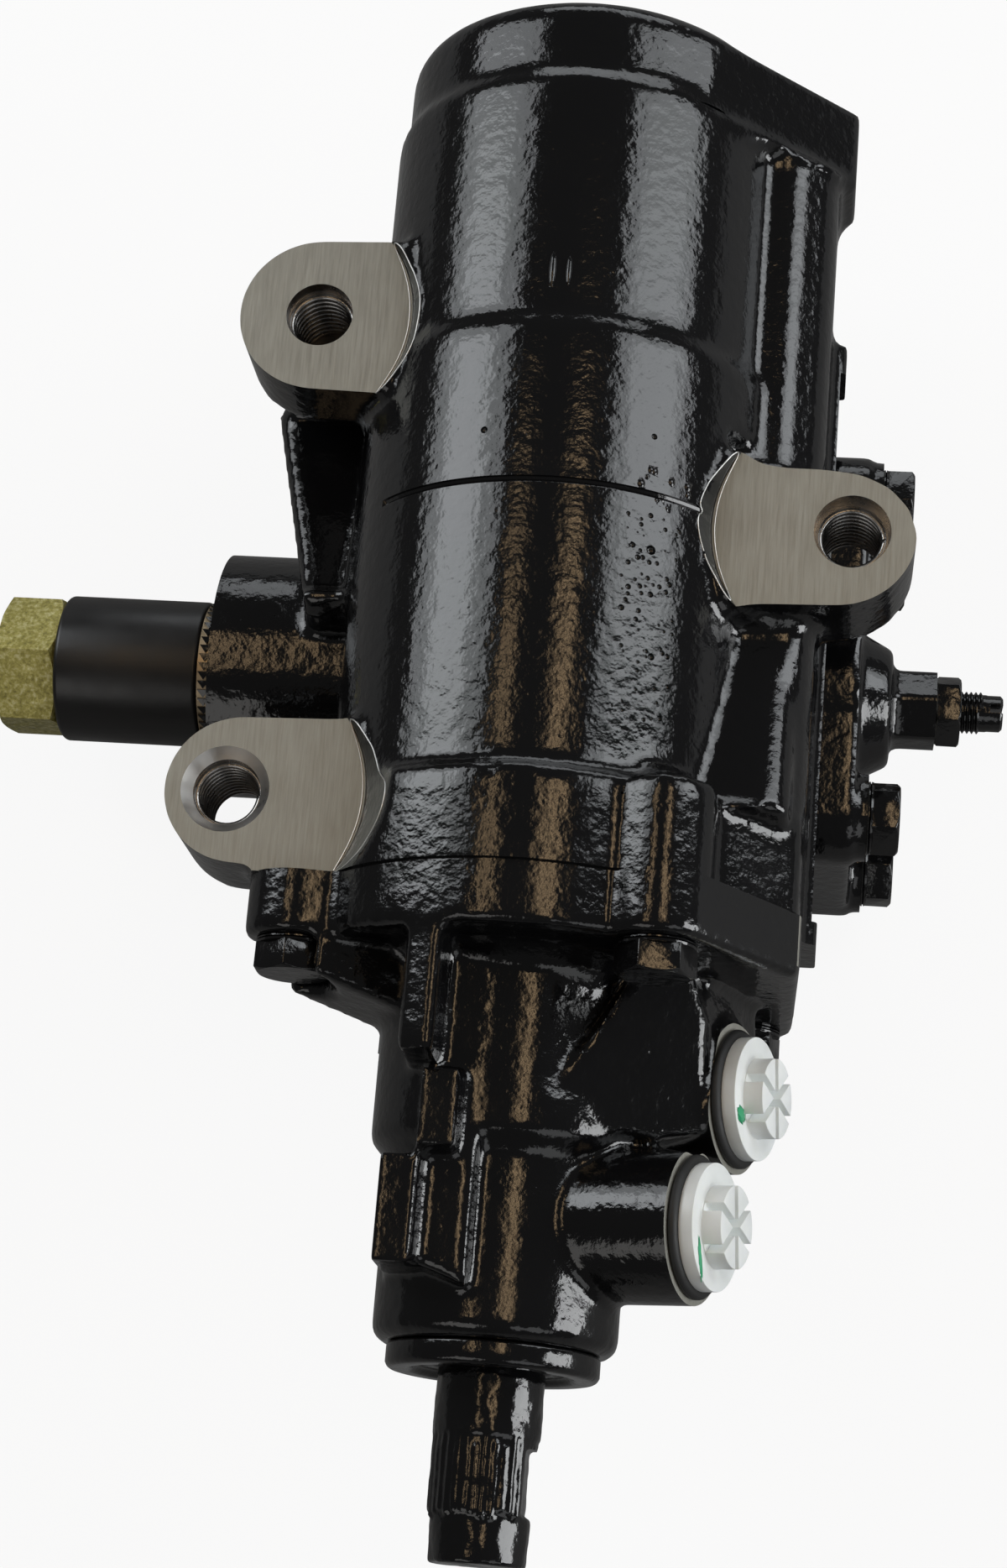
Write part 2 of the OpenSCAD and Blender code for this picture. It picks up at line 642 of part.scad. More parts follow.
// Piston with its rack, worm nut bore and pocket for the ball guide
module rack_piston() color([0.5, 0.5, 0.52]) difference() {
    flat_z = rack_drop + addendum;
    worm_ring(y_sector + piston_low, y_sector + piston_low + piston_len, 0, bore_r - 2 * run_gap);
    translate([-bore_r, y_sector + piston_low - 1, -flat_z - bore_r])
        cube([2 * bore_r, piston_flat_end - piston_low + 1, bore_r]);
    for (k = [-1:1]) translate([-bore_r, y_sector + k * pitch_len, -rack_drop]) rotate([90, 0, 90])
        linear_extrude(2 * bore_r) rack_gap();
    worm_ring(y_sector + piston_low - 1, y_sector + piston_hole_end, 0, nut_bore_r);
    worm_ring(y_sector + guide_low - ball_d, y_sector + guide_high + ball_d, 0,
        ball_circle_d / 2 + groove_r);
    translate([-19, y_sector + guide_low - 9, pocket_z]) cube([38, guide_high - guide_low + 18, bore_r]);
    for (s = [-1, 1]) translate([s * ball_circle_d / 2, y_sector + (s > 0 ? guide_low : guide_high), 0])
        cylinder(h = bore_r, r = guide_tube_r + run_gap);
    worm_ring(y_sector + piston_low + piston_len - 13, y_sector + piston_low + piston_len - 10,
        bore_r - 4, bore_r);
}

module piston_ring() color([0.25, 0.23, 0.2])
    worm_ring(y_sector + piston_low + piston_len - 12.9, y_sector + piston_low + piston_len - 10.1,
        bore_r - 3.9, bore_r - run_gap);

// Balls along the groove
module worm_balls() color([0.75, 0.75, 0.77]) {
    gap = 0.3;
    turn_len = norm([PI * ball_circle_d, lead]);
    count = floor(ball_turns * turn_len / (ball_d + gap));
    for (k = [0:count - 1]) along_y(y_sector) let (t = (k + 0.5) / count * ball_turns)
        rotate([0, 0, 360 * t]) translate([ball_circle_d / 2, 0, guide_low + t * lead]) sphere(ball_d / 2);
}

// Centre line of the return tube: two legs out of the groove and a bridge over the worm
guide_from = [ball_circle_d / 2, guide_low];
guide_to = [-ball_circle_d / 2, guide_high];
guide_span = norm(guide_to - guide_from);
module guide_path(r) {
    leg = guide_z - guide_bend;
    translate([guide_from[0], y_sector + guide_from[1], 0])
        rotate([0, 0, atan2(guide_to[1] - guide_from[1], guide_to[0] - guide_from[0])]) {
            for (x = [0, guide_span]) translate([x, 0, 0]) cylinder(h = leg, r = r);
            translate([guide_bend, 0, guide_z]) rotate([0, 90, 0])
                cylinder(h = guide_span - 2 * guide_bend, r = r);
            translate([guide_span - guide_bend, 0, leg]) rotate([90, 0, 0])
                rotate_extrude(angle = 90) translate([guide_bend, 0]) circle(r);
            translate([guide_bend, 0, leg]) rotate([90, 0, 180])
                rotate_extrude(angle = 90) translate([guide_bend, 0]) circle(r);
        }
}

module ball_return_guide() color([0.68, 0.68, 0.7]) difference() {
    guide_path(guide_tube_r);
    guide_path(ball_d / 2 + 0.15);
    worm_ring(y_sector + piston_low, y_sector + piston_hole_end, 0, ball_circle_d / 2 + groove_r + 0.1);
}

// Strap that holds the return tube down in its pocket
module guide_clamp() color([0.55, 0.55, 0.57]) {
    w = 8;
    mid = y_sector + (guide_low + guide_high) / 2;
    crown = guide_z + guide_tube_r + 0.1;
    sheet = 1.2;
    span = 13;
    translate([0, mid + w / 2, 0]) rotate([90, 0, 0]) linear_extrude(w)
        polygon([[-span - 5, pocket_z], [-span, pocket_z], [-span + sheet, crown], [span - sheet, crown],
            [span, pocket_z], [span + 5, pocket_z], [span + 5, pocket_z + sheet],
            [span + sheet, pocket_z + sheet], [span, crown + sheet], [-span, crown + sheet],
            [-span - sheet, pocket_z + sheet], [-span - 5, pocket_z + sheet]]);
}

module worm_shaft() color([0.6, 0.6, 0.62]) difference() {
    union() {
        along_y(y_sector + worm_thread_low)
            rotate([0, 0, 360 * (worm_thread_low - guide_low) / lead])
                linear_extrude(worm_thread_high - worm_thread_low,
                    twist = -360 * (worm_thread_high - worm_thread_low) / lead,
                    slices = round(14 * (worm_thread_high - worm_thread_low) / lead),
                    segments = worm_points, $fn = 0) worm_section();
        worm_ring(y_sector + worm_thread_high - 1, y_sector + worm_end, 0, worm_r - 3);
        worm_ring(y_joint + 1, y_sector + worm_thread_low + 2, 0, worm_r - 0.9);
        worm_ring(y_joint + free_gap, y_joint + 5, 0, bearing_bore_r + 3);
        worm_ring(valve_sleeve_y1, y_joint + 1, 0, bearing_bore_r);
    }
    worm_ring(valve_sleeve_y1 - 1, y_joint + 16, 0, torsion_d / 2);
    translate([-tang_len / 2 - 0.6, valve_sleeve_y1 - 1, -tang_w / 2 - 0.8])
        cube([tang_len + 1.2, tang_h + 2, tang_w + 1.6]);
}

module torsion_bar() color([0.5, 0.52, 0.55]) {
    slim = 0.75;
    worm_ring(torsion_y0, tip_len + 10, 0, torsion_d / 2);
    worm_ring(tip_len + 9, valve_sleeve_y1 - 1, 0, torsion_d / 2 * slim);
    worm_ring(valve_sleeve_y1 - 2, y_joint + 16, 0, torsion_d / 2);
}

sleeve_r = sleeve_bore_d / 2 - 2 * run_gap;
ring_places = [for (k = [0:3]) valve_sleeve_y0 + 6 + k * (valve_sleeve_y1 - valve_sleeve_y0 - 15) / 3];
module valve_sleeve() color([0.66, 0.66, 0.68]) difference() {
    worm_ring(valve_sleeve_y0, valve_sleeve_y1, spool_d / 2 + run_gap, sleeve_r);
    for (y = ring_places) worm_ring(y, y + 3, sleeve_r - 2, sleeve_r + 1);
    // Ports through the sleeve between its rings
    for (k = [0:2]) for (a = [0:90:270]) translate([0, (ring_places[k] + ring_places[k + 1] + 3) / 2, 0])
        rotate([0, a + 45 * k, 0]) cylinder(h = sleeve_r + 1, r = 2);
}

module sleeve_rings() color([0.15, 0.14, 0.12])
    for (y = ring_places) worm_ring(y + 0.1, y + 2.9, sleeve_r - 1.9, sleeve_bore_d / 2 - run_gap);

// Outer race and balls; the inner race turns with the worm
module worm_bearing() color([0.7, 0.7, 0.72]) {
    along_y(bearing_y) rotate_extrude() difference() {
        translate([bearing_ball_circle + 2, 0]) square([bearing_r - bearing_ball_circle - 2, bearing_w]);
        translate([bearing_ball_circle, bearing_w / 2]) circle(bearing_ball_r + 0.02);
    }
    for (k = [0:11]) along_y(bearing_y + bearing_w / 2) rotate([0, 0, 30 * k])
        translate([bearing_ball_circle, 0, 0]) sphere(bearing_ball_r);
}

module worm_bearing_race() color([0.7, 0.7, 0.72])
    along_y(bearing_y) rotate_extrude() difference() {
        translate([bearing_bore_r + 0.02, 0])
            square([bearing_ball_circle - 2.02 - bearing_bore_r, bearing_w]);
        translate([bearing_ball_circle, bearing_w / 2]) circle(bearing_ball_r + run_gap);
    }

// Spool, tang and stub in one, bored for the torsion bar
module input_shaft() color([0.12, 0.12, 0.13]) difference() {
    union() {
        worm_ring(valve_sleeve_y0 - 1, spool_y1, 0, spool_d / 2);
        worm_ring(tip_len + serration_len, valve_sleeve_y0, 0, input_d / 2);
        worm_ring(tip_len, tip_len + serration_len + 1, 0, serration_d / 2);
        worm_ring(0, tip_len + 1, 0, input_tip_d / 2);
        translate([-tang_len / 2, spool_y1 - 1, -tang_w / 2]) cube([tang_len, tang_h + 1, tang_w]);
    }
    worm_ring(tip_len + 10, spool_y1 + tang_h + 2, 0, torsion_d / 2 + free_gap);
    worm_ring(torsion_y0 - 1, tip_len + 11, 0, torsion_d / 2 + run_gap);
    // Flutes that feed the sleeve's ports
    for (a = [0:60:300]) translate([0, (valve_sleeve_y0 + valve_sleeve_y1) / 2, 0]) rotate([0, a + 30, 0])
        translate([-1.5, -18, spool_d / 2 - 1.2]) cube([3, 36, 3]);
    // Flat for the coupling's clamp bolt
    translate([serration_d / 2 - 2, tip_len, -15]) cube([10, serration_len - 2, 30]);
}

module input_bearing() color([0.7, 0.7, 0.72])
    worm_ring(input_bearing_y, input_bearing_y + input_bearing_w, input_d / 2 + run_gap, input_bearing_r);

module input_seal() color([0.06, 0.06, 0.06])
    worm_ring(seal_y, seal_y + seal_t, input_d / 2 + run_gap, seal_r);

module seal_retainer() color([0.08, 0.08, 0.09])
    along_y(retainer_y) rotate_extrude()
        polygon([[input_d / 2 + 1.2, 0], [retainer_r - 1.2, 0], [retainer_r, 1.2], [retainer_r, retainer_t],
            [input_d / 2 + 1.2, retainer_t]]);

// Boss of one port, from the valve body out to its face
module port_boss(p, len) at_port(p, -len) cylinder(h = len, r = port_boss_d / 2);

// Flat rail with two pads on it, and the gusset that runs down from the flange
module front_rail() {
    root_z = 8;
    top = y_joint - flange_t + 1;
    translate([0, 0, root_z]) linear_extrude(rail_z - root_z)
        polygon([[gusset_x + 5, rail_low + 4], [rail_x, rail_low], [rail_x, top], [gusset_x + 5, top]]);
    translate([pad_upper[0], pad_upper[1], root_z - 1])
        cube([pad_upper_size[0], pad_upper_size[1], pad_upper_size[2] - root_z + 1]);
    translate([pad_lower[0], pad_lower[1], root_z - 8])
        cube([pad_lower_size[0], pad_lower_size[1], pad_lower_size[2] - root_z + 8]);
    intersection() {
        translate([gusset_x, gusset_low, root_z]) cube([gusset_w, top - gusset_low + 1, band_d / 2]);
        along_y(gusset_low - 1) cylinder(h = top - gusset_low + 4, r = band_d / 2 - 1.3);
    }
}

// Sloping web from the body out to the left bolt of the flange
module lobe_web() {
    half = 11;
    reach = norm(valve_bolts[1]) - 2;
    low = y_joint - flange_t - 13;
    rotate([0, -atan2(valve_bolts[1][1], valve_bolts[1][0]), 0]) translate([0, 0, -half])
        linear_extrude(2 * half)
            polygon([[20, low - 2], [valve_top_d / 2, low], [reach, low + 5], [reach, low + 14], [20, low + 14]]);
}

// Flat on the body and the pocket beside the pressure port
module valve_front_cuts() {
    far = 100;
    rotate([0, facet_turn, 0]) translate([-20, pocket_outline[1][1] - 1, facet_r])
        cube([40, pocket_outline[0][1] - pocket_outline[1][1] + 2, 10]);
    intersection() {
        linear_extrude(band_d / 2) polygon(pocket_outline);
        rotate(pocket_lean) translate([-far, -far, pocket_depth]) cube([3 * far, 4 * far, far]);
    }
}

module valve_housing() color([0.08, 0.08, 0.09]) difference() {
    low_r = valve_low_d / 2;
    top_r = valve_top_d / 2;
    union() {
        along_y(y_joint - flange_t) linear_extrude(flange_t) flange_outline();
        along_y(seal_y) rotate_extrude()
            polygon([[0, 0], [low_r - 2, 0], [low_r, 2], [low_r, valve_neck_y - seal_y - 4],
                [top_r, valve_neck_y - seal_y], [top_r, y_joint - flange_t - seal_y - 4],
                [top_r + 6, y_joint - flange_t - seal_y], [0, y_joint - flange_t - seal_y]]);
        port_boss(port_low, port_reach);
        port_boss(port_high, port_reach);
        // Mass between the pressure port and the flange
        at_port(port_high, -port_reach) linear_extrude(mass_len)
            link([0, 0], port_boss_d / 2 - 0.1,
                [0, y_joint - port_high[1] - flange_t - 8], port_boss_d / 2 - 0.1);
        front_rail();
        lobe_web();
    }
    valve_front_cuts();
    worm_ring(bearing_y, y_joint + 1, 0, bearing_r);
    worm_ring(valve_sleeve_y0 - 1, y_joint, 0, sleeve_bore_d / 2);
    worm_ring(input_bearing_y, valve_sleeve_y0, 0, input_bearing_r);
    worm_ring(seal_y + seal_t, input_bearing_y + 1, 0, input_d / 2 + 1.5);
    worm_ring(seal_y - 1, seal_y + seal_t, 0, seal_r);
    worm_ring(y_joint - 3, y_joint + 1, bore_r + 1.2, bore_r + 4.2);
    for (b = valve_bolts) translate([b[0], y_joint - flange_t - 1, b[1]]) rotate([-90, 0, 0])
        cylinder(h = flange_t + 2, r = bolt_d / 2 + free_gap);
    // Seats for the bolt heads, ports and their drillings into the valve bore
    for (b = valve_bolts) translate([b[0], y_joint - flange_t - 30, b[1]]) rotate([-90, 0, 0])
        cylinder(h = 30, r = bolt_af / 2 + 1.6);
    for (p = [port_low, port_high]) {
        at_port(p, -18) cylinder(h = 20, r = port_bore_d / 2);
        at_port(p, 4 - port_reach) cylinder(h = port_reach, r = passage_d / 2);
    }
}

module valve_housing_bolts() color([0.1, 0.1, 0.11])
    for (b = valve_bolts) translate([b[0], y_joint - flange_t, b[1]]) rotate([90, 0, 0])
        hex_bolt(flange_t + valve_thread);

module valve_housing_seal() color([0.05, 0.05, 0.05])
    worm_ring(y_joint - 2.9, y_joint - 0.1, bore_r + 1.3, bore_r + 4.1);

// Shipping plug: threaded stem, rim and a slotted hub to turn it by
module port_plug(p) color([0.9, 0.92, 0.9]) {
    top = plug_seal_t + plug_rim_t;
    at_port(p, -12) cylinder(h = 13 + plug_seal_t, r = port_bore_d / 2 - run_gap);
    at_port(p, plug_seal_t) cylinder(h = plug_rim_t, r = plug_rim_r);
    difference() {
        at_port(p, top - 1) cylinder(h = hub_h + 1, r = hub_r);
        for (a = [10:60:130]) at_port(p, top + slot_floor) rotate(a)
            translate([-hub_slot / 2, -hub_r - 1, 0]) cube([hub_slot, 2 * hub_r + 2, hub_h]);
    }
}
module pressure_port_plug() port_plug(port_high);
module return_port_plug() port_plug(port_low);

module port_plug_seals() color([0.05, 0.05, 0.05])
    for (p = [port_low, port_high]) at_port(p, 0) rotate_extrude()
        translate([port_bore_d / 2, 0]) square([plug_rim_r - 0.4 - port_bore_d / 2, plug_seal_t]);

gear_housing();
side_cover();
side_cover_bolts();
side_cover_seal();
cover_bush();
adjuster_screw();
adjuster_locknut();
valve_housing();
valve_housing_bolts();
valve_housing_seal();
neck_bearing();
neck_seal();
neck_seal_clip();
sector_shaft();
spline_sleeve();
pitman_nut();
rack_piston();
piston_ring();
worm_balls();
ball_return_guide();
guide_clamp();
worm_shaft();
torsion_bar();
valve_sleeve();
sleeve_rings();
worm_bearing();
worm_bearing_race();
input_shaft();
input_bearing();
input_seal();
seal_retainer();
pressure_port_plug();
return_port_plug();
port_plug_seals();
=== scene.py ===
import bpy, bmesh, json, math, random
from mathutils import Matrix, Vector


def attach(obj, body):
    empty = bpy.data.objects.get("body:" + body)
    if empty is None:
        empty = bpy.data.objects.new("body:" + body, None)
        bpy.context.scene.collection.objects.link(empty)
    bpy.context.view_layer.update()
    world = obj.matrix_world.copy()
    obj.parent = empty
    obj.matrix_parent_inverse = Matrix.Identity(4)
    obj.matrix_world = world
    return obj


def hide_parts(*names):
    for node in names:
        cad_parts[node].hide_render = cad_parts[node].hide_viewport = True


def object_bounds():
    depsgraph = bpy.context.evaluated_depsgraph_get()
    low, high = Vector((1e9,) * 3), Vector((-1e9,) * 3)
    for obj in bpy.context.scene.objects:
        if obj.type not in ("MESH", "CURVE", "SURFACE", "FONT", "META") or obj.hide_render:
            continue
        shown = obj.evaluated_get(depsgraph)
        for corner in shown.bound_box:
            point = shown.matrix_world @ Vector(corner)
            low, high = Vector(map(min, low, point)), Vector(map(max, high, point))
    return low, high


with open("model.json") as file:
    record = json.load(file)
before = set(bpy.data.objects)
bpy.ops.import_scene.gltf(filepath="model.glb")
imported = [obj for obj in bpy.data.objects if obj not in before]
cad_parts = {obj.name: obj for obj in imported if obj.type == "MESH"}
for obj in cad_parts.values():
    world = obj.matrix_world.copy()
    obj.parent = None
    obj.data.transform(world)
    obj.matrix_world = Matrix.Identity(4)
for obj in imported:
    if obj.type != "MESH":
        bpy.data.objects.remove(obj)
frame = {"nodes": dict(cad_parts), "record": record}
nodes = frame["nodes"]
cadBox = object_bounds()
mm = 0.001
bodyOf = {n: body for body, members in frame["record"]["behaviour"]["bodies"].items() for n in members}
slotOf = {s["node"]: s["material_slot"] for s in frame["record"]["subparts"]}
print("frame loaded,", len(nodes), "nodes")


# materials

def newMaterial(name, metallic=0.0):
    mat = bpy.data.materials.new(name)
    mat.use_nodes = True
    tree = mat.node_tree
    shader = next(n for n in tree.nodes if n.type == "BSDF_PRINCIPLED")
    shader.inputs["Metallic"].default_value = metallic
    coord = tree.nodes.new("ShaderNodeTexCoord")
    return mat, tree, shader, coord.outputs["Object"]


def noise(tree, vector, scale, detail=2.0, rough=0.5, stretch=None):
    if stretch:
        mapping = tree.nodes.new("ShaderNodeMapping")
        mapping.inputs["Scale"].default_value = stretch
        tree.links.new(vector, mapping.inputs["Vector"])
        vector = mapping.outputs["Vector"]
    tex = tree.nodes.new("ShaderNodeTexNoise")
    tex.inputs["Scale"].default_value = scale
    tex.inputs["Detail"].default_value = detail
    tex.inputs["Roughness"].default_value = rough
    tree.links.new(vector, tex.inputs["Vector"])
    return tex.outputs["Fac"]


def ramp(tree, fac, stops):
    node = tree.nodes.new("ShaderNodeValToRGB")
    while len(node.color_ramp.elements) < len(stops):
        node.color_ramp.elements.new(0.5)
    for e, (place, color) in zip(node.color_ramp.elements, stops):
        e.position = place
        e.color = (*color, 1.0)
    tree.links.new(fac, node.inputs["Fac"])
    return node.outputs["Color"]


def bump(tree, height, distance, strength=1.0, below=None):
    node = tree.nodes.new("ShaderNodeBump")
    node.inputs["Strength"].default_value = strength
    node.inputs["Distance"].default_value = distance
    tree.links.new(height, node.inputs["Height"])
    if below is not None:
        tree.links.new(below, node.inputs["Normal"])
    return node.outputs["Normal"]


def tint(color, share):
    return tuple(c * share for c in color)


def setColor(tree, shader, fac, stops):
    tree.links.new(ramp(tree, fac, stops), shader.inputs["Base Color"])


def setRough(tree, shader, fac, rough, shares):  # shares of the roughness at places on the ramp
    stops = [(place, (rough * share,) * 3) for place, share in shares]
    tree.links.new(ramp(tree, fac, stops), shader.inputs["Roughness"])


def setBump(tree, shader, *values):
    tree.links.new(bump(tree, *values), shader.inputs["Normal"])


glossPaint = {"color": (0.0045, 0.0045, 0.005), "rough": 0.08, "ior": 1.58, "wearScale": 90.0,
              "peelScale": 380.0, "peelHeight": 0.00015, "grainScale": 1000.0, "grainHeight": 0.00005,
              "pitScale": 240.0, "pitHeight": 0.00008, "pitEdge": 0.16, "pitStrength": 0.5}


def paintMaterial(name, cfg):
    mat, tree, shader, where = newMaterial(name)
    shader.inputs["Base Color"].default_value = (*cfg["color"], 1)
    shader.inputs["IOR"].default_value = cfg["ior"]
    wear = noise(tree, where, cfg["wearScale"], 3.0)
    setRough(tree, shader, wear, cfg["rough"], [(0.3, 0.7), (0.75, 1.6)])
    peel = bump(tree, noise(tree, where, cfg["peelScale"], 2.0, 0.45), cfg["peelHeight"])
    grain = bump(tree, noise(tree, where, cfg["grainScale"], 3.0, 0.55), cfg["grainHeight"], 1.0, peel)
    cells = tree.nodes.new("ShaderNodeTexVoronoi")
    cells.inputs["Scale"].default_value = cfg["pitScale"]
    tree.links.new(where, cells.inputs["Vector"])
    pits = ramp(tree, cells.outputs["Distance"], [(0.0, (0, 0, 0)), (cfg["pitEdge"], (1, 1, 1))])
    setBump(tree, shader, pits, cfg["pitHeight"], cfg["pitStrength"], grain)
    return mat


milledFace = {"color": (0.38, 0.375, 0.335), "light": 1.12, "dark": 0.86, "rough": 0.5, "metallic": 0.6,
              "lines": 2300.0, "stretch": (1.0, 0.05, 1.0), "lineHeight": 0.000012,
              "cloudScale": 70.0, "cloudDark": (0.8, 0.79, 0.77), "cloudShare": 0.5}


def milledMaterial(name, cfg):
    mat, tree, shader, where = newMaterial(name, cfg["metallic"])
    streak = noise(tree, where, cfg["lines"], 3.0, 0.6, cfg["stretch"])
    cloud = noise(tree, where, cfg["cloudScale"], 3.0)
    dark, light = tint(cfg["color"], cfg["dark"]), tint(cfg["color"], cfg["light"])
    mixNode = tree.nodes.new("ShaderNodeMix")
    mixNode.data_type = "RGBA"
    mixNode.blend_type = "MULTIPLY"
    mixNode.inputs["Factor"].default_value = cfg["cloudShare"]
    tree.links.new(ramp(tree, streak, [(0.3, dark), (0.7, light)]), mixNode.inputs["A"])
    tree.links.new(ramp(tree, cloud, [(0.3, cfg["cloudDark"]), (0.7, (1.0, 1.0, 1.0))]), mixNode.inputs["B"])
    tree.links.new(mixNode.outputs["Result"], shader.inputs["Base Color"])
    setRough(tree, shader, streak, cfg["rough"], [(0.2, 0.8), (0.8, 1.25)])
    setBump(tree, shader, streak, cfg["lineHeight"])
    return mat


steelGrain = {"cloudScale": 160.0, "dark": 0.85, "fineScale": 1500.0, "fineHeight": 0.00001}


def steelMaterial(name, color, rough):
    mat, tree, shader, where = newMaterial(name, 1.0)
    cloud = noise(tree, where, steelGrain["cloudScale"], 4.0)
    setColor(tree, shader, cloud, [(0.3, tint(color, steelGrain["dark"])), (0.7, color)])
    setRough(tree, shader, cloud, rough, [(0.3, 0.8), (0.7, 1.3)])
    setBump(tree, shader, noise(tree, where, steelGrain["fineScale"]), steelGrain["fineHeight"])
    return mat


zincNut = {"color": (0.46, 0.41, 0.11), "dark": 0.55, "pale": (0.72, 0.68, 0.36), "rough": 0.4,
           "metallic": 0.4, "speckScale": 900.0, "speckHeight": 0.00012, "cloudScale": 300.0}


def zincMaterial(name, cfg):
    mat, tree, shader, where = newMaterial(name, cfg["metallic"])
    speck = noise(tree, where, cfg["speckScale"], 3.0, 0.65)
    dark = tint(cfg["color"], cfg["dark"])
    setColor(tree, shader, speck, [(0.32, dark), (0.5, cfg["color"]), (0.72, cfg["pale"])])
    cloud = noise(tree, where, cfg["cloudScale"], 3.0)
    setRough(tree, shader, cloud, cfg["rough"], [(0.3, 0.75), (0.7, 1.4)])
    setBump(tree, shader, speck, cfg["speckHeight"])
    return mat


mouldedGrain = {"cloudScale": 120.0, "dark": 0.9, "fineScale": 700.0, "glowDepth": (0.004, 0.004, 0.0035)}


def mouldedMaterial(name, color, rough, grain=0.00002, glow=0.0):
    mat, tree, shader, where = newMaterial(name)
    cloud = noise(tree, where, mouldedGrain["cloudScale"], 3.0)
    setColor(tree, shader, cloud, [(0.3, tint(color, mouldedGrain["dark"])), (0.7, color)])
    setRough(tree, shader, cloud, rough, [(0.3, 0.85), (0.7, 1.15)])
    setBump(tree, shader, noise(tree, where, mouldedGrain["fineScale"]), grain)
    if glow:
        shader.inputs["Subsurface Weight"].default_value = glow
        shader.inputs["Subsurface Radius"].default_value = mouldedGrain["glowDepth"]
    return mat


paint = paintMaterial("glossPaint", glossPaint)
bare = milledMaterial("milledFace", milledFace)
zinc = zincMaterial("yellowZinc", zincNut)
steel = steelMaterial("plainSteel", (0.55, 0.55, 0.57), 0.3)
bronze = steelMaterial("bearingBronze", (0.62, 0.42, 0.18), 0.35)
threadSteel = steelMaterial("threadSteel", (0.36, 0.35, 0.34), 0.25)
sinkSteel = steelMaterial("sinkSteel", (0.82, 0.81, 0.79), 0.34)
edgeSteel = steelMaterial("edgeSteel", (0.8, 0.79, 0.77), 0.35)
toothSteel = steelMaterial("toothSteel", (0.42, 0.33, 0.22), 0.42)
rubber = mouldedMaterial("blackRubber", (0.012, 0.012, 0.012), 0.55)
ringPlastic = mouldedMaterial("ringPlastic", (0.16, 0.14, 0.11), 0.5)
sleeveBlack = mouldedMaterial("sleeveBlack", (0.011, 0.0105, 0.0105), 0.36)
plugWhite = mouldedMaterial("plugWhite", (0.92, 0.95, 0.94), 0.35, 0.00001, 0.25)
inspectGreen = mouldedMaterial("inspectionGreen", (0.03, 0.38, 0.17), 0.4, 0.00003)

bySlot = {"black_paint": paint, "painted_bolts": paint, "painted_shaft": paint, "rubber": rubber,
          "bearing_steel": steel, "gear_steel": steel, "pressed_steel": steel, "bronze": bronze,
          "ring_plastic": ringPlastic, "sleeve_plastic": sleeveBlack, "yellow_zinc": zinc,
          "plug_plastic": plugWhite}
for name, obj in nodes.items():
    obj.data.materials.clear()
    obj.data.materials.append(bySlot[slotOf[name]])
print("materials made")


# helpers for pieces, in millimetres

def toMesh(bm, name="piece"):
    mesh = bpy.data.meshes.new(name)
    bm.to_mesh(mesh)
    bm.free()
    return mesh


def toObject(bm, name, *mats):
    mesh = toMesh(bm, name)
    obj = bpy.data.objects.new(name, mesh)
    bpy.context.scene.collection.objects.link(obj)
    for m in mats:
        mesh.materials.append(m)
    return obj


def openMesh(obj):
    bm = bmesh.new()
    bm.from_mesh(obj.data)
    return bm


def putBack(bm, obj):
    bm.to_mesh(obj.data)
    bm.free()
    return obj


def mergedCopy(node):
    bm = openMesh(nodes[node])
    bmesh.ops.remove_doubles(bm, verts=bm.verts, dist=1e-6)
    return bm


def rodMatrix(start, axis):
    turn = Vector(axis).to_track_quat("Z", "Y").to_matrix().to_4x4()
    return Matrix.Translation(Vector(start) * mm) @ turn


def addRod(bm, start, axis, length, radius, segments=96, endRadius=None):  # from start along axis
    m = rodMatrix(start, axis) @ Matrix.Translation((0, 0, length * mm / 2))
    end = radius if endRadius is None else endRadius
    bmesh.ops.create_cone(bm, cap_ends=True, segments=segments, radius1=radius * mm, radius2=end * mm,
                          depth=length * mm, matrix=m)


def addBox(bm, low, high):
    size = (Vector(high) - Vector(low)) * mm
    centre = (Vector(high) + Vector(low)) * mm / 2
    m = Matrix.Translation(centre) @ Matrix.Diagonal((*size, 1))
    bmesh.ops.create_cube(bm, size=1.0, matrix=m)


def addPlate(bm, outline, low, high, lean=(0, 0)):  # upright plate, its top at high plus the lean
    face = bm.faces.new([bm.verts.new(Vector((x, y, low)) * mm) for x, y in outline])
    top = bmesh.ops.extrude_face_region(bm, geom=[face])["geom"]
    for v in top:
        if isinstance(v, bmesh.types.BMVert):
            v.co.z = high * mm + v.co.x * lean[0] + v.co.y * lean[1]
    bmesh.ops.recalc_face_normals(bm, faces=bm.faces)


def addSlab(bm, centre, axis, size, height):  # stands on a slanted plane, with its size on that plane
    n = Vector(axis).normalized()
    across = Vector((0, 1, 0)).cross(n).normalized()
    turn = Matrix((across, n.cross(across), n)).transposed().to_4x4()
    m = Matrix.Translation(Vector(centre) * mm) @ turn @ Matrix.Translation((0, 0, height * mm / 2))
    spread = Matrix.Diagonal((size[0] * mm, size[1] * mm, height * mm, 1))
    bmesh.ops.create_cube(bm, size=1.0, matrix=m @ spread)


def growFaces(bm, axis, at, by):  # adds stock on a machined face
    n = Vector(axis)
    faces = [f for f in bm.faces if f.normal.dot(n) > 0.999
             and abs(f.calc_center_median().dot(n) - at * mm) < 5e-5]
    made = bmesh.ops.extrude_face_region(bm, geom=faces)
    verts = [g for g in made["geom"] if isinstance(g, bmesh.types.BMVert)]
    bmesh.ops.translate(bm, verts=verts, vec=n * by * mm)
    bmesh.ops.delete(bm, geom=faces, context="FACES")


